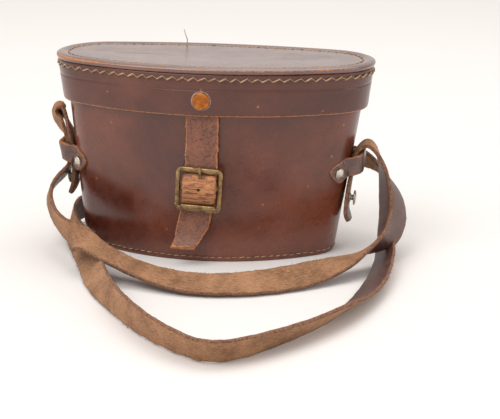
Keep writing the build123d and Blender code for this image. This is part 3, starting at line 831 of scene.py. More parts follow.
@dataclass(frozen=True)
class StudioCloth:
    """The pale table under the case."""

    name: str
    light: Colour = (0.82, 0.805, 0.79)
    shade: Colour = (0.79, 0.775, 0.76)

    def material(self) -> bpy.types.Material:
        """Builds a matt, almost even surface."""
        b = Bench(self.name)
        tone = b.noise(b.place(), 0.004, 2, 0.5)
        return b.finish(Base_Color=b.mix(tone, self.shade, self.light), Roughness=0.9)


class Finish(Enum):
    """The finishes of the case, by the part that wears them."""

    CASE = WaxedHide("case_hide")
    LID = WaxedHide("lid_hide", deep=(0.058, 0.013, 0.008), warm=(0.150, 0.043, 0.023), coat=0.28)
    PLATE = WaxedHide(
        "plate_hide",
        deep=(0.080, 0.030, 0.022),
        warm=(0.190, 0.080, 0.052),
        gloss=0.30,
        coat=0.9,
        coat_index=1.75,
    )
    LOOP = StrapHide(
        "loop_hide", grain_deep=(0.060, 0.028, 0.024), grain_warm=(0.135, 0.075, 0.060), gloss=0.3
    )
    CLOSING = StrapHide(
        "closing_strap_hide",
        grain_deep=(0.062, 0.019, 0.012),
        grain_warm=(0.215, 0.070, 0.036),
        grain_bright=(0.290, 0.120, 0.072),
        cut_deep=(0.30, 0.10, 0.035),
        cut_warm=(0.55, 0.24, 0.10),
        crack=(0.62, 0.26, 0.11),
        gloss=0.42,
        coat=0.14,
        pebble=0.45,
    )
    SHOULDER = StrapHide(
        "shoulder_strap_hide",
        grain_deep=(0.045, 0.017, 0.014),
        grain_warm=(0.105, 0.046, 0.034),
        cut_deep=(0.11, 0.045, 0.028),
        cut_warm=(0.30, 0.150, 0.080),
        gloss=0.44,
        coat=0.12,
    )
    THREAD = WaxedThread("tan_thread")
    PALE_THREAD = WaxedThread("pale_thread", light=(0.46, 0.38, 0.33), dark=(0.20, 0.14, 0.11))
    FIBRE = WaxedThread("loose_fibre", light=(0.36, 0.19, 0.10), dark=(0.16, 0.08, 0.04))
    # Nearly black, this thread finish paints the shade inside the awl holes and the strap's spare hole.
    HOLE_SHADE = WaxedThread("awl_holes", light=(0.020, 0.010, 0.008), dark=(0.010, 0.006, 0.005))
    BRASS = OldMetal("aged_brass", (0.42, 0.28, 0.13), (0.22, 0.145, 0.075), (0.09, 0.055, 0.03), wear=0.75)
    COPPER = OldMetal("rubbed_copper", (0.56, 0.19, 0.045), (0.36, 0.11, 0.028), (0.16, 0.05, 0.02), wear=0.3)
    NICKEL = OldMetal("worn_nickel", (0.78, 0.73, 0.64), (0.55, 0.50, 0.42), (0.20, 0.15, 0.09), wear=0.25)
    LINING = NappedCloth("lining_cloth")
    TABLE = StudioCloth("pale_table")


MATERIALS: dict[Finish, bpy.types.Material] = {}


def wears(finish: Finish) -> bpy.types.Material:
    """The material of a finish, made once."""
    if finish not in MATERIALS:
        MATERIALS[finish] = finish.value.material()
    return MATERIALS[finish]


def dress(node: str, finish: Finish) -> None:
    """Gives a CAD node that stays its material."""
    thing = bpy.data.objects[node]
    thing.data.materials.clear()
    thing.data.materials.append(wears(finish))


# ---------------------------------------------------------------- the case


BASE = Oval(74.0, 38.5, 26.0, 20.0)
SHOULDER = Oval(85.0, 38.0, 29.0, 23.5)
NECK = Oval(83.2, 34.7, 27.2, 21.7)
RIM = Oval(88.5, 44.0, 32.5, 27.0)
CROWN = Oval(92.0, 43.0, 35.0, 29.0)
RIM_HEIGHT = 85.5
NECK_HEIGHT = 99.0
SEAM_HEIGHT = 109.0
TOP_HEIGHT = 112.0
FOOT_LEAN = 3.0

BODY = Taper([(BASE, 0.0), (SHOULDER, RIM_HEIGHT), (NECK, NECK_HEIGHT)], FOOT_LEAN, RIM_HEIGHT)
LID = Taper([(RIM, RIM_HEIGHT), (CROWN, TOP_HEIGHT)])


def ring_wave(seed: int) -> Array:
    """A gentle wave round a ring of the case that meets itself: sines of whole turns, about -1 to 1."""
    rng = np.random.default_rng(seed)
    turn = np.arange(BODY.columns) * 2 * np.pi / BODY.columns
    total = np.zeros(BODY.columns)
    for waves in range(2, 12):
        total += np.sin(waves * turn + rng.uniform(0, 2 * np.pi)) / waves**0.7
    return total / 2.5


def hump(values: Array, middle: float, half: float) -> Array:
    """A rounded bump of height 1 at a middle, gone at half a width to each side."""
    return 1 - smooth(np.abs(values - middle), 0.0, half)


def rounding(from_end: Array, reach: float, least: float) -> Array:
    """Share of a strip's width near a round end: a quarter circle from least at the end to 1 at reach."""
    t = np.clip(from_end / reach, 0, 1)
    return least + (1 - least) * np.sqrt(np.clip(1 - (1 - t) ** 2, 0, 1))


@dataclass
class CaseBody:
    """The hard oval body: wall, base, lining and their stitching."""

    wall: float = 3.0
    lining: float = 0.8
    base: float = 5.2
    stitch_height: float = 2.6
    stitch_pitch: float = 4.2
    stitch_length: float = 3.1
    seam_gap: float = 4.0
    seam_bottom: float = 9.0
    seam_top: float = 57.5

    def make(self) -> None:
        """Builds and dresses every part of the body."""
        self.make_wall()
        self.make_lining()
        self.make_base()
        self.make_stitches()

    def make_wall(self) -> None:
        """The wall: a closed profile carried round the oval, dented and grooved in small ways."""
        near_foot = [1.5, 2.0, 2.3, 2.6, 2.9, 3.2, 4.0]
        outer = np.concatenate([near_foot, np.arange(6.0, 84.5, 2.2), [85.5, 90, 95, 97.6]])
        groove = 0.32 * hump(outer, self.stitch_height, 0.75)
        foot = [(2.9, 0.0), (2.0, 0.0), (1.0, 0.02), (0.45, 0.14), (0.15, 0.44), (0.03, 0.9)]
        top = [(0.12, 98.3), (0.5, 98.85), (1.1, 99.0), (1.9, 99.0), (2.5, 98.85), (2.88, 98.3)]
        inner = [(self.wall, z) for z in (97.0, 92.0, 85.5, 60.0, 30.0, 3.0)]
        profile = np.array(foot + list(zip(groove, outer)) + top + inner)
        swell = np.sin(np.pi * np.clip(profile[:, 1] / RIM_HEIGHT, 0, 1)) * (profile[:, 0] < 1.0)
        depth = profile[:, :1] + 0.28 * swell[:, None] * ring_wave(3)[None]
        points = BODY.rings(depth, profile[:, 1])
        faces = grid_faces(len(profile), BODY.columns, ring=True, loop=True)
        piece = Piece("wall_leather", points, faces, wears(Finish.CASE)).outwards()
        wear_and_highlight = 0.30 * (1 - smooth(profile[:, 1], 0.5, 1.6)) + 0.55 * hump(profile[:, 1], 99.0, 1.0)
        piece.mark("wear_and_highlight", np.broadcast_to(wear_and_highlight[:, None], points.shape[:2]))
        piece.place("case", "case_leather", "body_wall")

    def make_lining(self) -> None:
        """The cloth lining: a thin cup inside the wall with a rounded top edge."""
        outside = self.wall + 0.1
        inside = outside + self.lining
        heights = [self.base + 0.1, 20.0, 50.0, RIM_HEIGHT, NECK_HEIGHT - 1.4]
        up = [(outside, z) for z in heights]
        lip = [(outside + 0.2, NECK_HEIGHT - 1.0), (inside - 0.2, NECK_HEIGHT - 1.0)]
        down = [(inside, z) for z in heights[:0:-1]] + [(inside, self.base + 0.1 + self.lining)]
        profile = np.array(up + lip + down)
        wall = BODY.rings(profile[:, 0], profile[:, 1])
        floor = floor_rings(wall[-1])
        under = floor_rings(wall[0])[::-1]
        points = np.concatenate([under, wall, floor])
        faces = grid_faces(len(points), BODY.columns, ring=True)
        piece = Piece("lining", points, faces, wears(Finish.LINING)).weld().outwards()
        piece.place("case", "lining_cloth", "body_lining")

    def make_base(self) -> None:
        """The thick base plate inside the wall's foot."""
        side = BODY.rings(np.array([3.4, 3.1, 3.1]), np.array([0.0, 0.3, self.base]))
        points = np.concatenate([floor_rings(side[0])[::-1], side, floor_rings(side[-1])])
        faces = grid_faces(len(points), BODY.columns, ring=True)
        piece = Piece("base_leather", points, faces, wears(Finish.CASE)).weld().outwards()
        piece.mark("wear_and_highlight", np.zeros(len(piece.mesh.vertices)))
        piece.place("case", "case_leather", "base_plate")

    def make_stitches(self) -> None:
        """The row round the foot and the two rows of the back seam."""
        rng = np.random.default_rng(11)
        places = BODY.row(self.stitch_height, self.stitch_pitch)
        spot, out, along = BODY.spots(self.stitch_height, places, depth=0.20)
        spot = spot + UP * rng.normal(0, 0.12, len(spot))[:, None]
        run = slanted(along, UP, rng.normal(6, 4, len(spot)))
        length = self.stitch_length * rng.uniform(0.85, 1.08, len(spot))
        threads = stitches(spot, run, out, length, 0.34, 0.42, 0.18)
        foot = Piece("foot_stitches", *threads, wears(Finish.THREAD))
        foot.place("case", "thread", "base_stitching")
        rows = []
        for side in (-1, 1):
            heights = np.arange(self.seam_bottom, self.seam_top, self.stitch_pitch)
            _, _, back, _ = BODY.sizes(heights)
            shift = FOOT_LEAN * (1 - heights / RIM_HEIGHT)
            spot = np.stack([side * self.seam_gap - shift, back - 0.05, heights], axis=-1)
            out = np.tile([0.0, 1.0, -0.035], (len(spot), 1))
            up = np.tile([0.0, 0.035, 1.0], (len(spot), 1))
            rows.append(stitches(spot, unit(up), unit(out), self.stitch_length, 0.32, 0.4, 0.15))
        seam = Piece("back_seam_stitches", *join(rows), wears(Finish.THREAD))
        seam.place("case", "thread", "back_seam_stitching")


def floor_rings(ring: Array, steps: int = 6, drop: float = 0.0) -> Array:
    """Rings that shrink from an oval ring to the line between its round ends' centres.

    Each point P moves to M + k (P - M), where M is P pressed onto that line and k falls to 0; the
    rings may dip or rise by drop towards the middle.

    Args:
        ring: the outer ring, (columns, 3).
        steps: how many rings.
        drop: how far the middle stands lower than the ring, mm.

    Returns:
        The rings from the outer one inwards, without the outer one itself.
    """
    run = ring[:, 0].max() - (ring[:, 1].max() - ring[:, 1].min()) / 2.6
    spine = ring.copy()
    spine[:, 0] = np.clip(ring[:, 0], -run, run)
    middle = (ring[:, 1].max() + ring[:, 1].min()) / 2
    spine[:, 1] = np.interp(np.abs(spine[:, 0]), [0, run], [middle, 0.0])
    share = np.linspace(1, 0, steps + 1)[1:, None, None]
    rings = spine[None] + share * (ring - spine)[None]
    rings[..., 2] -= drop * (1 - share[..., 0] ** 2)
    return rings


@dataclass
class Lid:
    """The lid: a band that slips over the body's neck, closed by a plate with a raised border."""

    crease_height: float = 100.2
    side_stitch_height: float = 106.2
    side_pitch: float = 5.9
    plate_inset: float = 7.0
    groove_height: float = 111.6
    plate_pitch: float = 5.3
    rivet_height: float = 94.2
    cap_radius: float = 4.9

    def make(self) -> None:
        """Builds and dresses every part of the lid."""
        self.make_band()
        self.make_plate()
        self.make_side_stitches()
        self.make_plate_stitches()
        self.make_cap()
        dress("lid_lining", Finish.LINING)
        dress("strap_rivet_burr", Finish.COPPER)

    def make_band(self) -> None:
        """The band: a closed profile round the oval, creased, grooved, with a worn lower lip."""
        heights = np.concatenate(
            [
                [87.4, 88.5],
                np.arange(90.0, 99.2, 1.5),
                [99.4, 99.8, 100.2, 100.6, 101.0],
                [102.0, 103.5, 104.6, 105.4, 106.2, 107.0, 107.8, 108.4, 108.75],
            ]
        )
        depth = 0.34 * hump(heights, self.crease_height, 0.7) + 0.10 * smooth(heights, 100.0, 100.5)
        depth += 0.26 * hump(heights, self.side_stitch_height, 1.7) + 0.35 * smooth(heights, 108.2, 109.0)
        lip = [(2.7, 85.55), (1.6, 85.5), (0.9, 85.5), (0.38, 85.66), (0.12, 86.05), (0.02, 86.6)]
        outer = list(zip(depth, heights))
        back = [(1.2, 109.0), (2.8, 109.0)] + [(3.0, z) for z in (108.6, 104.0, 99.0, 92.0, 86.0)]
        profile = np.array(lip + outer + back)
        wave = ring_wave(8)[None]
        outside = profile[:, :1] < 1.0
        mid = np.sin(np.pi * np.clip((profile[:, 1:] - RIM_HEIGHT) / 23.5, 0, 1)) * outside
        low = (profile[:, 1:] < 87.0) * 0.16 * ring_wave(21)[None]
        points = LID.rings(profile[:, :1] + 0.22 * mid * wave, profile[:, 1:] + low)
        faces = grid_faces(len(profile), BODY.columns, ring=True, loop=True)
        piece = Piece("band_leather", points, faces, wears(Finish.LID)).outwards()
        wear_and_highlight = 0.66 * (1 - smooth(profile[:, 1], 85.9, 87.1)) + 0.34 * hump(profile[:, 1], 100.4, 0.8)
        piece.mark("wear_and_highlight", np.broadcast_to(wear_and_highlight[:, None], points.shape[:2]))
        piece.place("lid", "case_leather", "lid_band")

    def make_plate(self) -> None:
        """The plate: rounded edge, raised border, a stitch groove, and a flat that sags slightly."""
        edge = [(1.0, 109.0), (0.45, 109.05), (0.05, 109.35), (-0.22, 109.9), (-0.28, 110.5)]
        edge += [(-0.18, 111.1), (0.12, 111.6), (0.6, 111.92), (1.2, 112.1)]
        depths = np.array([1.9, 2.8, 3.8, 4.7, 5.5, 6.1, 6.6, 7.0, 7.4, 7.9, 8.6, 10.0, 12.5, 16.0, 20.0])
        border = 112.1 + 0.42 * hump(depths, 3.2, 2.8) - 0.25 * smooth(depths, 4.8, 6.6)
        height = border - 0.42 * hump(depths, 7.0, 0.9) - 0.05 * smooth(depths, 7.0, 20.0)
        profile = np.array(edge + list(zip(depths, height)))
        skirt = LID.rings(profile[:, 0], np.minimum(profile[:, 1], TOP_HEIGHT))
        skirt[..., 2] = profile[:, 1:] + 0.10 * ring_wave(5)[None] * (profile[:, 1:] > 111)
        under = LID.rings(np.array([12.0, 4.0]), np.array([SEAM_HEIGHT, SEAM_HEIGHT]))
        top = floor_rings(skirt[-1], 8, 0.35)
        bottom = floor_rings(under[0], 4)[::-1]
        points = np.concatenate([bottom, under, skirt, top])
        faces = grid_faces(len(points), BODY.columns, ring=True)
        # Painted highlight mixed with wear: the raw-leather colour along the plate's rounded arris and border
        # is partly edge wear all round, and grows towards the front and the left end to paint the highlight
        # where the key lamp lights the arris.
        left = smooth(-points[..., 0], 48.0, 78.0) * (points[..., 1] < 20)
        arris = np.zeros(points.shape[:2])
        start = len(bottom) + len(under)
        rim = np.exp(-(((profile[:, 1] - 111.3) / 0.75) ** 2)) * (profile[:, 0] < 1.4)
        ridge = 0.25 * hump(profile[:, 0], 3.2, 1.6)
        arris[start : start + len(profile)] = np.maximum(rim, ridge)[:, None]
        front = smooth(-points[..., 1], 5.0, 30.0)
        wear_and_highlight = arris * (0.30 + 0.28 * front + 0.62 * left)
        piece = Piece("plate_leather", points, faces, wears(Finish.PLATE))
        piece.mark("wear_and_highlight", wear_and_highlight)
        piece.weld().outwards().place("lid", "case_leather", "lid_top")

    def make_side_stitches(self) -> None:
        """Slanted tan threads round the band's top, with thin pale ones that cross between them."""
        rng = np.random.default_rng(4)
        places = LID.row(self.side_stitch_height, self.side_pitch)
        spot, out, along = LID.spots(self.side_stitch_height, places, depth=0.16)
        run = slanted(along, UP, rng.normal(27, 3, len(spot)))
        main = stitches(spot, run, out, 4.9 * rng.uniform(0.92, 1.06, len(spot)), 0.50, 0.5, 0.10)
        spot, out, along = LID.spots(self.side_stitch_height, places + self.side_pitch / 2, depth=0.20)
        run = slanted(along, UP, rng.normal(-33, 4, len(spot)))
        pale = stitches(spot, run, out, 3.3 * rng.uniform(0.8, 1.1, len(spot)), 0.2, 0.30, 0.12)
        first = Piece("lid_side_stitches", *main, wears(Finish.THREAD))
        first.place("lid", "thread", "lid_stitching")
        Piece("lid_cross_stitches", *pale, wears(Finish.PALE_THREAD)).place("lid", "thread")

    def make_plate_stitches(self) -> None:
        """The row inside the plate's border, dark marks that paint the shade in its awl holes, and one loose
        end of thread at the back.
        """
        rng = np.random.default_rng(9)
        places = LID.row(TOP_HEIGHT, self.plate_pitch, self.plate_inset)
        spot, out, along = LID.spots(TOP_HEIGHT, places, depth=self.plate_inset)
        spot[:, 2] = self.groove_height + 0.02
        up = np.tile(UP, (len(spot), 1))
        run = slanted(along, -out, rng.normal(8, 4, len(spot)))
        front = smooth(-spot[:, 1], -5.0, 20.0)
        length = 3.5 * rng.uniform(0.85, 1.05, len(spot)) * (1 - 0.25 * front)
        rows = [stitches(spot, run, up, length, 0.36, 0.45, 0.16)]
        start = np.array([-21.6, 26.9, 111.7])
        bends = [start + way for way in ((0, 0, 0), (0.5, 0.4, 2.6), (-0.6, 0.9, 6.0), (-1.6, 0.6, 9.5))]
        rows.append(tube(fair_curve(bends, 24), np.linspace(0.32, 0.16, 24), 8))
        Piece("plate_stitches", *join(rows), wears(Finish.THREAD)).place("lid", "thread")
        # Painted shade: nearly black marks between the stitches stand for the shade inside the awl holes.
        spot, out, along = LID.spots(TOP_HEIGHT, places + self.plate_pitch / 2, depth=self.plate_inset)
        spot[:, 2] = self.groove_height
        width = 1.9 * (1 - 0.45 * front)
        hole_shade = stitches(spot, along, up, width, 0.42, 0.10, 0.22)
        Piece("awl_holes", *hole_shade, wears(Finish.HOLE_SHADE)).place("lid", "thread")

    def make_cap(self) -> None:
        """The domed copper cap of the rivet that holds the closing strap, with a pale raised rim."""
        _, front, _, _ = LID.sizes(self.rivet_height)
        r = self.cap_radius
        dome = [(0.0, -3.0), (1.5, -3.0), (1.5, 0.05), (r - 0.1, 0.05), (r, 0.25), (r, 0.7), (r - 0.12, 1.0)]
        dome += [(r - 0.4, 1.16), (r - 0.75, 1.12), (r - 1.0, 1.02), (r - 1.6, 1.22), (r - 2.6, 1.42)]
        dome += [(1.2, 1.55), (0.0, 1.58)]
        face = np.array([0.0, -front, self.rivet_height])
        cap = turned("strap_cap", dome, face + 0.15 * FRONTWARDS, FRONTWARDS, Finish.COPPER)
        cap.place("lid", "copper_cap", "strap_rivet")
        ring = [(r + 0.05, -0.2), (r + 0.75, -0.2), (r + 0.6, 0.12), (r + 0.3, 0.25), (r + 0.02, 0.12)]
        rim = turned("cap_wax", ring, face + 0.05 * FRONTWARDS, FRONTWARDS, Finish.PALE_THREAD)
        rim.place("lid", "copper_cap")


def tube(line: Array, radius: Array | float, sides: int) -> Solid:
    """A round tube along a line with closed ends.

    The ring at each point turns round it in the plane square to the line; the plane's first axis is
    the cross product of the line's direction and a fixed helper.

    Args:
        line: the middle line, (k, 3), mm.
        radius: the radius at each point.
        sides: points round the tube.

    Returns:
        Points and faces.
    """
    along = unit(np.gradient(line, axis=0))
    helper = np.array([0.31, 0.17, 0.93]) if abs(along[:, 2]).mean() < 0.8 else np.array([0.93, 0.31, 0.17])
    first = unit(np.cross(along, helper))
    size = np.broadcast_to(np.asarray(radius, float), (len(line),))[:, None, None]
    points = line[:, None] + circle(first, np.cross(along, first), sides) * size
    return points.reshape(-1, 3), capped_faces(len(line), sides)


@dataclass
class Hinge:
    """The folding piece of leather that joins the lid to the body at the back."""

    half_width: float = 32.0
    low: float = 58.5
    high: float = 103.5
    thickness: float = 2.0
    margin: float = 3.2
    axis_height: float = 85.1
    rounding: float = 0.9
    back_bow: float = 150.0
    pitch: float = 4.15

    def make(self) -> None:
        """Builds the leather across the fold and its four rows of stitches."""
        spans = ((self.low, 78.0, 1.6), (78.0, 92.0, 0.55), (92.6, self.high + 0.1, 1.55))
        heights = np.concatenate([np.arange(*span) for span in spans])
        sideways = np.linspace(-1, 1, 41) * self.half_width
        face = self.sheet_points(heights[:, None], sideways[None])
        outer = face + np.array([0.0, self.thickness, 0.0])
        rows, columns = face.shape[:2]
        edge_x = smooth(np.abs(sideways), self.half_width - self.rounding, self.half_width)[None]
        bottom = 1 - smooth(heights, self.low, self.low + self.rounding)
        top = smooth(heights, self.high - self.rounding, self.high)
        edge_z = np.maximum(bottom, top)[:, None]
        outer[..., 1] -= self.rounding * np.maximum(edge_x, edge_z) ** 2
        points = np.concatenate([face.reshape(-1, 3), outer.reshape(-1, 3)])
        sheet = grid_faces(rows, columns, ring=False)
        count = rows * columns
        rim = np.concatenate(
            [
                np.arange(columns),
                np.arange(1, rows) * columns + columns - 1,
                (rows - 1) * columns + np.arange(columns - 1)[::-1],
                np.arange(rows - 1)[:0:-1] * columns,
            ]
        )
        wall = np.stack([rim, np.roll(rim, -1), np.roll(rim, -1) + count, rim + count], axis=-1)
        faces = np.concatenate([sheet[:, ::-1], sheet + count, wall])
        piece = Piece("hinge_leather", points, faces, wears(Finish.CASE)).outwards()
        fold = np.exp(-(((points[:, 2] - self.axis_height) / 1.6) ** 2))
        piece.mark("wear_and_highlight", 0.5 * fold + 0.55 * (np.arange(len(points)) >= count) * self.rim_mark(points))
        piece.stand_for("case_leather", "hinge_leaf_body", "hinge_leaf_lid")
        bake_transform(piece.object)
        self.make_rows((self.low + self.margin, self.low + 3 * self.margin), "case", "hinge_stitching_body")
        self.make_rows((self.high - self.margin, self.high - 3 * self.margin), "lid", "hinge_stitching_lid")

    def rim_mark(self, points: Array) -> Array:
        """1 on the sheet's outer edges, falling to 0 within a millimetre."""
        side = smooth(np.abs(points[:, 0]), self.half_width - 1.0, self.half_width)
        bottom = 1 - smooth(points[:, 2], self.low, self.low + 1.0)
        top = smooth(points[:, 2], self.high - 1.0, self.high)
        return np.maximum(side, np.maximum(bottom, top))

    def sheet_points(self, height: Array, x: Array, out: float = 0.0) -> Array:
        """Points on the inner face: the body's back, then the band's, eased over the rim's step."""
        height, x = np.broadcast_arrays(height, x)
        reach = []
        for taper in (BODY, LID):
            width, _, back, radius = taper.sizes(height)
            big = arc_radius(width - radius, back, radius)
            reach.append(back - big + np.sqrt(big**2 - x**2))
        ease = smooth(height, 77.0, 85.3)
        y = reach[0] * (1 - ease) + reach[1] * ease + 0.06 + out
        return np.stack([x, y, height], axis=-1)

    def make_rows(self, heights: tuple[float, ...], body: str, node: str) -> None:
        """Rows of level stitches across one half of the hinge."""
        rng = np.random.default_rng(int(heights[0]))
        x = np.arange(-self.half_width + self.margin, self.half_width - self.margin + 0.1, self.pitch)
        rows = []
        for height in heights:
            spot = self.sheet_points(np.full(len(x), height), x, self.thickness - 0.05)
            along = np.tile([1.0, 0.0, 0.0], (len(x), 1))
            along[:, 1] = -x / self.back_bow
            out = np.tile([0.0, 1.0, 0.0], (len(x), 1))
            run = slanted(unit(along), UP, rng.normal(8, 4, len(x)))
            rows.append(stitches(spot, run, out, 3.1, 0.33, 0.42, 0.16))
        Piece(f"{node}_threads", *join(rows), wears(Finish.THREAD)).place(body, "thread", node)


@dataclass
class ClosingStrap:
    """The strap that hangs from the lid, bends over the buckle's bar and ends in a loose tail."""

    width: float = 18.5
    thickness: float = 2.4
    hole_height: float = 45.0
    tail_loss: float = 4.3
    bar_swell: float = 0.9
    route: tuple[Spot, ...] = (
        (0.0, -38.83, 100.5),
        (0.0, -39.05, 95.0),
        (0.0, -39.25, 90.0),
        (0.0, -39.40, 86.0),
        (0.0, -39.90, 78.0),
        (0.0, -40.80, 68.0),
        (-0.1, -41.9, 61.0),
        (-0.2, -42.3, 57.5),
        (-0.3, -42.75, 54.3),
        (-0.4, -45.6, 50.6),
        (-0.5, -47.35, 46.3),
        (-0.7, -47.2, 42.0),
        (-1.2, -45.2, 38.2),
        (-2.0, -42.65, 35.0),
        (-3.0, -42.35, 31.0),
        (-4.0, -42.6, 26.0),
        (-5.3, -43.8, 20.5),
        (-7.3, -46.2, 15.0),
        (-9.9, -49.6, 10.6),
    )

    def make(self) -> None:
        """Builds the strap, which bends at the lid's rim, and a dark disc that paints the shade in its spare
        hole.
        """
        line = fair_curve(self.route, 240)
        z = line[:, 2]
        bulge = smooth(z, 34.0, 38.0) * (1 - smooth(z, 50.0, 54.5))
        width = self.width - self.tail_loss * (1 - smooth(z, 10.5, 24.0)) + self.bar_swell * bulge
        thick = self.thickness + 0.35 * bulge
        across = np.tile((-1.0, 0.0, 0.0), (len(z), 1))
        strip = Ribbon(line, across, width, thick)
        strip.across = across
        piece = strip.build("closing_leather", wears(Finish.CLOSING), crown=0.12, roughen=0.28, seed=31)
        bent = np.maximum(bulge, 0.16 * hump(z, 60.5, 2.6))
        bent = np.maximum(bent, 0.6 * (1 - smooth(z, 11.0, 15.5)))
        strip.mark_rings(piece, "bent", bent)
        piece.stand_for("strap_leather", "closing_strap")
        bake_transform(piece.object)
        # Painted shade: a nearly black disc on the strap's face stands for the shade inside the spare hole.
        near = int(np.argmin(np.abs(z - self.hole_height)))
        middle = line[near] - strip.normal[near] * (thick[near] / 2 + 0.13)
        rim = [(0, -0.6), (0.85, -0.6), (0.9, 0.02), (0.0, 0.03)]
        spare = turned("spare_hole", rim, middle, -strip.normal[near], Finish.HOLE_SHADE, 20)
        spare.place("strap", "strap_leather")


@dataclass
class Buckle:
    """The cast brass frame with its bar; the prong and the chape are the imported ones."""

    width: float = 26.6
    height: float = 25.4
    middle: float = 44.25
    reach: float = 45.39
    depth: float = 2.4
    corner: float = 3.6
    side: float = 2.5
    top: float = 3.0
    bottom: float = 4.0
    tilt: float = 3.0
    shift: float = -1.0
    bar_height: float = 44.5
    bar_reach: float = 43.59
    bar_radius: float = 1.2
    section: int = 16
    squareness: float = 0.55

    def make(self) -> None:
        """Builds the frame: a worn rounded section carried round a rounded rectangle, and the bar."""
        steps = np.linspace(0, np.pi / 2, 12)
        corners = []
        centre = np.array([self.width / 2 - self.corner, self.height / 2 - self.corner])
        signs = [(1, -1), (1, 1), (-1, 1), (-1, -1)]
        for number, sign in enumerate(signs):
            angle = -np.pi / 2 + number * np.pi / 2 + steps
            arc = sign * centre + self.corner * np.stack([np.cos(angle), np.sin(angle)], axis=-1)
            run = np.subtract(signs[(number + 1) % 4], sign) * centre
            corners += [arc, arc[-1] + run * np.linspace(0, 1, 14)[1:-1, None]]
        outline = np.concatenate(corners)
        half_x = self.width / 2
        to_side = smooth(np.abs(outline[:, 0]), half_x - 4.2, half_x - 0.6)
        end_bar = np.where(outline[:, 1] > 0, self.top, self.bottom)
        bar = end_bar * (1 - to_side) + self.side * to_side
        tangent = unit(np.roll(outline, -1, axis=0) - np.roll(outline, 1, axis=0))
        inward = np.stack([-tangent[:, 1], tangent[:, 0]], axis=-1)
        turn = np.arange(self.section) * 2 * np.pi / self.section
        c, s = (np.sign(wave) * np.abs(wave) ** self.squareness for wave in (np.cos(turn), np.sin(turn)))
        distance = travel(outline)
        around = distance / distance[-1] * 2 * np.pi
        wave = np.sin(around * 7) * 0.07 + np.sin(around * 3 + 1) * 0.10
        offset = bar[:, None] * (0.5 - 0.5 * c[None]) + wave[:, None] * (c[None] < 0)
        flat = outline[:, None] + inward[:, None] * offset[..., None]
        flare = 0.25 * (outline[:, 1] < -8)[:, None]
        through = s[None] * (self.depth / 2 + flare)
        angle = np.radians(self.tilt)
        x = flat[..., 0] * np.cos(angle) + flat[..., 1] * np.sin(angle) + self.shift
        z = -flat[..., 0] * np.sin(angle) + flat[..., 1] * np.cos(angle) + self.middle
        bow = 0.5 * (1 - (flat[..., 0] / half_x) ** 2)
        points = np.stack([x, -self.reach - through - bow * 0.6, z], axis=-1)
        faces = grid_faces(len(outline), self.section, ring=True, loop=True).tolist()
        reach_x = half_x - self.side / 2
        line = np.tile([0.0, -self.bar_reach, self.bar_height], (12, 1))
        line[:, 0] = np.linspace(-reach_x, reach_x, 12) + self.shift
        parts = join([(points.reshape(-1, 3), faces), tube(line, self.bar_radius, 20)])
        piece = Piece("buckle_brass", *parts, wears(Finish.BRASS)).outwards()
        piece.place("buckle", "buckle_brass", "buckle_frame")
        for node, finish in (
            ("buckle_prong", Finish.BRASS),
            ("buckle_chape", Finish.CASE),
            ("chape_rivet", Finish.COPPER),
            ("chape_burr", Finish.COPPER),
        ):
            dress(node, finish)


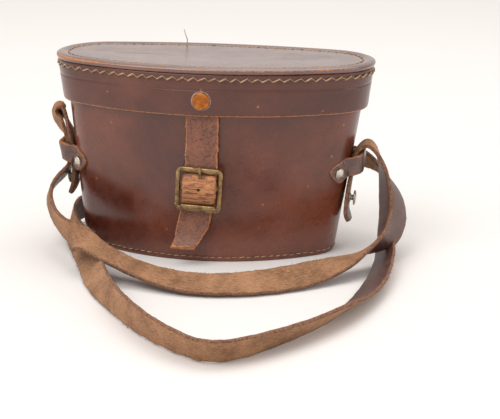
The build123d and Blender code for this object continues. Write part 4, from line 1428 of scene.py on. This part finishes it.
@dataclass
class SideLoop:
    """A fixed loop at one end of the body: a band over the strap, two lands and two rivets."""

    side: int
    name: str
    band: float = 10.5
    thickness: float = 2.4
    gap: float = 5.7
    half_flat: float = 9.4
    flat_height: float = 54.6
    rivet_height: float = 49.5
    end_height: float = 46.6
    rivet_angle: float = 42.5
    land_angles: tuple[float, ...] = (50.5, 46.5, 42.5, 36.5, 30.0)
    flare: float = 0.0
    cap_radius: float = 3.25
    burr_depth: float = 3.95
    wall_reach: float = 80.37
    wall_slope: float = 0.12
    steps: int = 150

    def make(self) -> None:
        """Builds the loop's leather and its four small pieces of metal."""
        self.make_band()
        r = self.cap_radius
        dome = [(0, -1.5), (1.2, -1.5), (1.2, 0.0), (r - 0.1, 0.0), (r, 0.2), (r - 0.1, 0.5)]
        dome += [(r - 0.6, 0.85), (r - 1.5, 1.15), (1.0, 1.32), (0, 1.36)]
        washer = [(0, -1.4), (1.0, -1.4), (1.3, -0.9), (1.5, -0.7), (2.7, -0.7), (2.7, 0.0), (0, 0.0)]
        burrs = []
        for place, sign in (("front", -1), ("back", 1)):
            spot, out = self.wall_point(self.rivet_height, self.rivet_angle * sign)
            seat = spot + out * (self.thickness + 0.1)
            cap = turned(f"loop_cap_{self.name}_{place}", dome, seat, out, Finish.NICKEL, 32)
            cap.place("case", "nickel", f"loop_rivet_{self.name}_{place}")
            burrs.append(lathe(washer, spot - out * self.burr_depth, out, 28))
        washers = Piece(f"loop_washers_{self.name}", *join(burrs), wears(Finish.COPPER)).weld().outwards()
        washers.place("case", "copper_cap", f"loop_burrs_{self.name}")

    def wall_point(self, height: float, angle: float) -> tuple[Array, Array]:
        """A point on the round end of the wall at an angle from the X axis, and the way out."""
        width, _, _, radius = BODY.sizes(height)
        turn = np.radians(angle)
        out = np.array([self.side * np.cos(turn), np.sin(turn), 0.0])
        centre = np.array([self.side * (width - radius), 0.0, height])
        centre[0] -= FOOT_LEAN * np.clip(1 - height / RIM_HEIGHT, 0, 1)
        return centre + out * radius, unit(out + np.array([0, 0, -self.wall_slope]))

    def make_band(self) -> None:
        """The leather: lands that droop along the wall and a raised flat that stands off it."""
        half = self.thickness / 2
        levels = (51.8, self.rivet_height, self.end_height)
        heights = np.interp(self.land_angles, (30.0, self.rivet_angle, 50.5), levels)
        rows = []
        for height, angle in zip(heights, self.land_angles):
            spot, out = self.wall_point(height, -angle)
            droop = (0.12 * out[0] - 0.10 * self.side, 0.12 * out[1] + 0.30, 1.0)
            rows.append((*(spot + out * (half + 0.08)), *droop))
        lift, lean = self.flat_height, self.side * self.flare
        side_x = self.side * (self.wall_reach + self.gap + half + 0.2)
        side_x -= FOOT_LEAN * (1 - lift / RIM_HEIGHT)
        rows.append((side_x - self.side * 2.9, -self.half_flat - 1.3, lift - 1.6, lean * 0.5, 0.15, 1.0))
        end = self.half_flat - 1.6
        for y, rise in ((-end, -0.5), (-4.0, 0.0), (0.0, 0.2), (4.0, 0.0), (end, -0.5)):
            rows.append((side_x + lean * 2.0, y, lift + rise, lean, 0.0, 1.0))
        rows += [(x, -y, z, up_x, -up_y, up_z) for x, y, z, up_x, up_y, up_z in rows[5::-1]]
        curve = fair_curve(rows, self.steps)[:: -self.side]
        line, across = curve[:, :3], curve[:, 3:]
        count = np.arange(self.steps)
        step = np.linalg.norm(np.diff(line, axis=0), axis=1).mean()
        rounded = rounding(np.minimum(count, count[::-1]) * step, 4.5, 0.46)
        strip = Ribbon(line, across, self.band * rounded, self.thickness)
        name = f"loop_{self.name}_leather"
        piece = strip.build(name, wears(Finish.LOOP), crown=0.14, roughen=0.22, seed=40 + self.side)
        piece.mark("bent", np.zeros(len(piece.mesh.vertices)))
        piece.place("case", "loop_leather", f"loop_{self.name}")


@dataclass
class ShoulderStrap:
    """The long strap: one strip from the right end's stud to the left end's."""

    width: float = 15.5
    thickness: float = 2.3
    length: float = 1.19
    side_step: float = 0.005
    right_stud: Spot = (80.0, -3.7, 32.2)
    left_stud: Spot = (-84.2, 0.0, 36.4)
    twist_places: tuple[float, ...] = (0, 25, 30, 60)
    twist_turns: tuple[float, ...] = (0, 0, 0.5, 0.5)
    route: tuple[tuple[Spot, Spot], ...] = (
        ((0.0802, -0.0048, 0.0190), (0, 1, 0)),
        ((0.0782, -0.0046, 0.0228), (0, 1, 0)),
        ((0.0783, -0.0040, 0.0285), (0, 1, 0)),
        ((0.0793, -0.0028, 0.0395), (0, 1, 0)),
        ((0.0813, -0.0005, 0.0505), (0, 1, 0)),
        ((0.0832, 0, 0.0605), (0, 1, 0)),
        ((0.0902, 0, 0.0655), (0, 1, 0)),
        ((0.0978, -0.0010, 0.0540), (-0.25, 0.97, 0)),
        ((0.1006, -0.0030, 0.0370), (-0.5, 0.86, 0)),
        ((0.1012, -0.0050, 0.0190), (-0.45, 0.88, -0.05)),
        ((0.1024, -0.0170, 0.0082), (-0.62, 0.35, -0.66)),
        ((0.1028, -0.0420, 0.0054), (-0.82, 0.04, -0.57)),
        ((0.1004, -0.0700, 0.0042), (-0.9, 0.14, -0.42)),
        ((0.0952, -0.0970, 0.0043), (-0.88, 0.18, -0.44)),
        ((0.0860, -0.1270, 0.0066), (-0.64, 0.24, -0.72)),
        ((0.0660, -0.1610, 0.0070), (-0.53, 0.35, -0.77)),
        ((0.0340, -0.1960, 0.0074), (0.02, 0.55, -0.84)),
        ((0.0080, -0.1790, 0.0082), (0.16, 0.25, -0.95)),
        ((-0.0140, -0.1550, 0.0086), (0.06, 0.06, -1)),
        ((-0.0330, -0.1260, 0.0086), (-0.1, -0.06, -0.99)),
        ((-0.0483, -0.0950, 0.0066), (-0.58, -0.33, -0.74)),
        ((-0.0595, -0.0645, 0.0062), (-0.7, -0.29, -0.64)),
        ((-0.0718, -0.0370, 0.0068), (-0.67, -0.22, -0.71)),
        ((-0.0850, -0.0100, 0.0088), (-0.36, -0.1, -0.93)),
        ((-0.0890, 0.0180, 0.0105), (-0.1, 0, -0.99)),
        ((-0.0740, 0.0420, 0.0100), (0, 0, -1)),
        ((-0.0470, 0.0530, 0.0115), (0, 0, -1)),
        ((-0.0180, 0.0570, 0.0170), (0, 0, -1)),
        ((0.0110, 0.0550, 0.0260), (0, 0.1, -1)),
        ((0.0390, 0.0495, 0.0360), (0, 0.2, -0.95)),
        ((0.0650, 0.0410, 0.0455), (0, 0.4, -0.9)),
        ((0.0860, 0.0270, 0.0495), (0, 0.6, -0.8)),
        ((0.0998, 0.0180, 0.0405), (0.35, 0.7, -0.6)),
        ((0.1085, 0.0030, 0.0285), (0.42, 0.75, -0.45)),
        ((0.1078, -0.0190, 0.0185), (0.42, 0.85, -0.3)),
        ((0.0990, -0.0370, 0.0154), (0.35, 0.9, -0.2)),
        ((0.0800, -0.0560, 0.0086), (0.17, 0.95, 0.2)),
        ((0.0570, -0.0770, 0.0064), (0.3, 0.75, 0.45)),
        ((0.0300, -0.0905, 0.0060), (0.2, 0.82, 0.48)),
        ((0.0020, -0.0935, 0.0054), (0.08, 0.9, 0.43)),
        ((-0.0260, -0.0840, 0.0078), (0.28, 0.95, 0.16)),
        ((-0.0480, -0.0755, 0.0140), (0.40, 0.91, 0.05)),
        ((-0.0590, -0.0698, 0.0178), (0.50, 0.86, 0.12)),
        ((-0.0700, -0.0600, 0.0188), (-0.06, -0.12, 0.99)),
        ((-0.0825, -0.0440, 0.0200), (-0.11, -0.33, 0.94)),
        ((-0.0920, -0.0285, 0.0268), (0.12, -0.37, 0.92)),
        ((-0.0948, -0.0135, 0.0340), (0.49, -0.48, 0.73)),
        ((-0.0866, -0.0015, 0.0412), (0.27, -0.78, 0.56)),
        ((-0.0858, 0, 0.0485), (0, -1, 0)),
        ((-0.0866, 0, 0.0575), (0.15, -0.98, 0)),
        ((-0.0908, 0.0010, 0.0645), (0.5, -0.86, 0)),
        ((-0.0948, 0.0020, 0.0715), (0.6, -0.8, 0)),
        ((-0.0925, 0.0020, 0.0775), (0.6, -0.8, 0)),
        ((-0.0890, 0.0010, 0.0715), (0.4, -0.9, 0)),
        ((-0.0858, 0, 0.0630), (0.1, -1, 0)),
        ((-0.0833, 0, 0.0530), (0, -1, 0)),
        ((-0.0827, 0, 0.0430), (0, -1, 0)),
        ((-0.0830, 0, 0.0330), (0, -1, 0)),
        ((-0.0862, 0, 0.0262), (0, -1, 0)),
    )

    def sample(self, rows: Sequence[Sequence[float]]) -> Array:
        """Points along a smooth NURBS curve with some rows of three numbers as control points."""
        curve = bpy.data.curves.new("strap_route", "CURVE")
        curve.dimensions = "3D"
        curve.resolution_u = 12
        spline = curve.splines.new("NURBS")
        spline.points.add(len(rows) - 1)
        for point, row in zip(spline.points, rows):
            point.co = (*row, 1.0)
        spline.order_u = 3
        spline.use_endpoint_u = True
        holder = bpy.data.objects.new("strap_route", curve)
        mesh = bpy.data.meshes.new_from_object(holder)
        flat = np.empty(3 * len(mesh.vertices))
        mesh.vertices.foreach_get("co", flat)
        bpy.data.objects.remove(holder)
        bpy.data.curves.remove(curve)
        bpy.data.meshes.remove(mesh)
        return flat.reshape(-1, 3)

    def make(self) -> None:
        places = [place for place, _ in self.route]
        sides = [place + self.side_step * unit(np.array(side, float)) for place, side in self.route]
        turns = np.interp(np.arange(len(places)), self.twist_places, self.twist_turns)
        path = self.sample(places)
        across = (self.sample(sides) - path) / self.side_step
        turn = 2 * np.pi * self.sample([(turn, 0, 0) for turn in turns])[:, :1]
        line = path / MM
        flat = Ribbon(line, across, self.width, self.thickness)
        across = flat.across * np.cos(turn) + flat.normal * np.sin(turn)
        from_end = np.minimum(flat.distance, flat.distance[-1] - flat.distance)
        rounded = rounding(from_end, 5.0, 0.55)
        waist = 1 + 0.025 * wobble(flat.distance, 17, 180.0, 4)
        strip = Ribbon(line, across, self.width * rounded * waist, self.thickness)
        piece = strip.build("shoulder_leather", wears(Finish.SHOULDER), crown=0.10, roughen=0.30, seed=50)
        tight = np.linalg.norm(np.gradient(strip.along, strip.distance, axis=0), axis=1)
        strip.mark_rings(piece, "bent", 0.8 * smooth(tight, 0.10, 0.22))
        piece.place("case", "shoulder_leather", "shoulder_strap")
        fuzz = self.fuzz(strip)
        studs = [self.stud("right", 1, self.right_stud), self.stud("left", -1, self.left_stud)]

    def fuzz(self, strip: Ribbon, count: int = 1100) -> bpy.types.Object:
        """Short loose fibres that stand out from both cut edges, mostly on the flesh side."""
        rng = np.random.default_rng(77)
        ring = rng.integers(12, len(strip.line) - 12, count)
        edge = rng.choice([-1.0, 1.0], count)[:, None]
        across, normal, along = strip.across[ring], strip.normal[ring], strip.along[ring]
        root = strip.line[ring] + across * edge * (strip.width[ring] / 2 - 0.25)[:, None]
        root = root + normal * rng.uniform(-0.2, 0.9, count)[:, None]
        spread = rng.normal(0, 0.55, (count, 2))
        way = unit(across * edge * 0.9 + along * spread[:, :1] + normal * (0.35 + spread[:, 1:]))
        side = unit(np.cross(way, along))
        size = rng.uniform(0.9, 2.3, count)
        fibres = stitches(root + way * 0.3, way, side, size, 0.075, 0.12, 0.0)
        piece = Piece("strap_fuzz", *fibres, wears(Finish.FIBRE))
        piece.place("case", "shoulder_leather")
        return piece.object

    def stud(self, name: str, side: int, origin: Spot) -> list[bpy.types.Object]:
        """The button stud of one tail and its screw from behind."""
        head = [(0, -0.3), (2.8, -0.3), (2.8, 0.35), (2.4, 0.5), (1.6, 0.62), (1.6, 2.1), (3.7, 2.12)]
        head += [(4.2, 2.3), (4.35, 2.6), (4.2, 2.95), (3.6, 3.3), (2.4, 3.6), (1.0, 3.72), (0, 3.74)]
        axis = np.array([side, 0.0, -0.05])
        stud = turned(f"stud_{name}_metal", head, np.array(origin), axis, Finish.NICKEL)
        stud.place("case", "nickel", f"stud_{name}")
        back = np.array(origin) - np.array([side * 2.6, 0, 0])
        screw = [(0, 0.0), (2.2, 0.0), (2.2, 0.3), (1.0, 0.35), (1.0, 2.4), (0, 2.4)]
        shank = turned(f"screw_{name}_metal", screw, back, axis, Finish.NICKEL, 24)
        shank.place("case", "nickel", f"stud_screw_{name}")
        return [stud.object, shank.object]


# ---------------------------------------------------------------- the studio


@dataclass(frozen=True)
class Studio:
    """Camera, pale floor, soft lights and the look of the world."""

    eye: Spot = (0.14838, -0.85162, 0.27804)
    aim: Spot = (0.0212, 0.0, 0.02054)
    roll: float = 0.49
    lens: float = 110.16
    film: float = 36.0
    world: Colour = (0.93, 0.89, 0.865)
    world_strength: float = 0.86
    lamp_colour: Colour = (1.0, 0.975, 0.95)
    lamp_aim: Spot = (0.0, 0.0, 0.05)
    lamps: tuple[tuple[str, Spot, float, float], ...] = (
        ("key", (-0.55, -0.75, 1.25), 0.95, 10.0),
        ("top", (0.15, 0.35, 1.35), 1.20, 7.0),
        ("right", (1.15, -0.30, 0.55), 0.60, 2.0),
    )

    def set_camera(self) -> None:
        """Puts the camera at the eye, looking at the aim, with its small roll."""
        for name in ("Cube", "Light", "Camera"):
            old = bpy.data.objects.get(name)
            if old is not None:
                bpy.data.objects.remove(old)
        data = bpy.data.cameras.new("camera")
        data.lens = self.lens
        data.sensor_width = self.film
        camera = bpy.data.objects.new("camera", data)
        bpy.context.scene.collection.objects.link(camera)
        forward = (Vector(self.aim) - Vector(self.eye)).normalized()
        right = forward.cross(Vector((0, 0, 1))).normalized()
        up = right.cross(forward)
        turn = np.radians(self.roll)
        tilted = right * np.cos(turn) + up * np.sin(turn)
        upright = -right * np.sin(turn) + up * np.cos(turn)
        axes = Matrix((tilted, upright, -forward)).transposed().to_4x4()
        camera.matrix_world = Matrix.Translation(self.eye) @ axes
        bpy.context.scene.camera = camera

    def set_room(self) -> None:
        """Adds the floor, the lights and the world's colour."""
        scene = bpy.context.scene
        scene.view_settings.view_transform = "Standard"
        ground = Piece("floor", self.floor_points(), [[0, 1, 2, 3]], wears(Finish.TABLE))
        world = bpy.data.worlds.new("room")
        world.use_nodes = True
        sky = world.node_tree.nodes["Background"]
        sky.inputs["Color"].default_value = (*self.world, 1.0)
        sky.inputs["Strength"].default_value = self.world_strength
        scene.world = world
        for lamp in self.lamps:
            self.area(*lamp)

    def floor_points(self, half: float = 6000.0) -> Array:
        """The corners of a wide floor at height 0."""
        return np.array([[-half, -half, 0.0], [half, -half, 0.0], [half, half, 0.0], [-half, half, 0.0]])

    def area(self, name: str, place: Spot, size: float, power: float) -> None:
        """A square lamp of a width in metres and a power in watts, turned towards the case."""
        data = bpy.data.lights.new(name, "AREA")
        data.size = size
        data.energy = power
        data.color = self.lamp_colour
        lamp = bpy.data.objects.new(name, data)
        bpy.context.scene.collection.objects.link(lamp)
        lamp.location = place
        away = Vector(place) - Vector(self.lamp_aim)
        lamp.rotation_euler = away.to_track_quat("Z", "Y").to_euler()


def main() -> None:
    """Makes the studio and the whole case."""
    logging.basicConfig(level=logging.INFO, format="%(message)s")
    studio = Studio()
    studio.set_camera()
    ShoulderStrap().make()
    CaseBody().make()
    Lid().make()
    Hinge().make()
    ClosingStrap().make()
    Buckle().make()
    SideLoop(1, "right").make()
    SideLoop(-1, "left", flare=0.22).make()
    studio.set_room()
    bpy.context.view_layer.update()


if __name__ == "__main__":
    main()
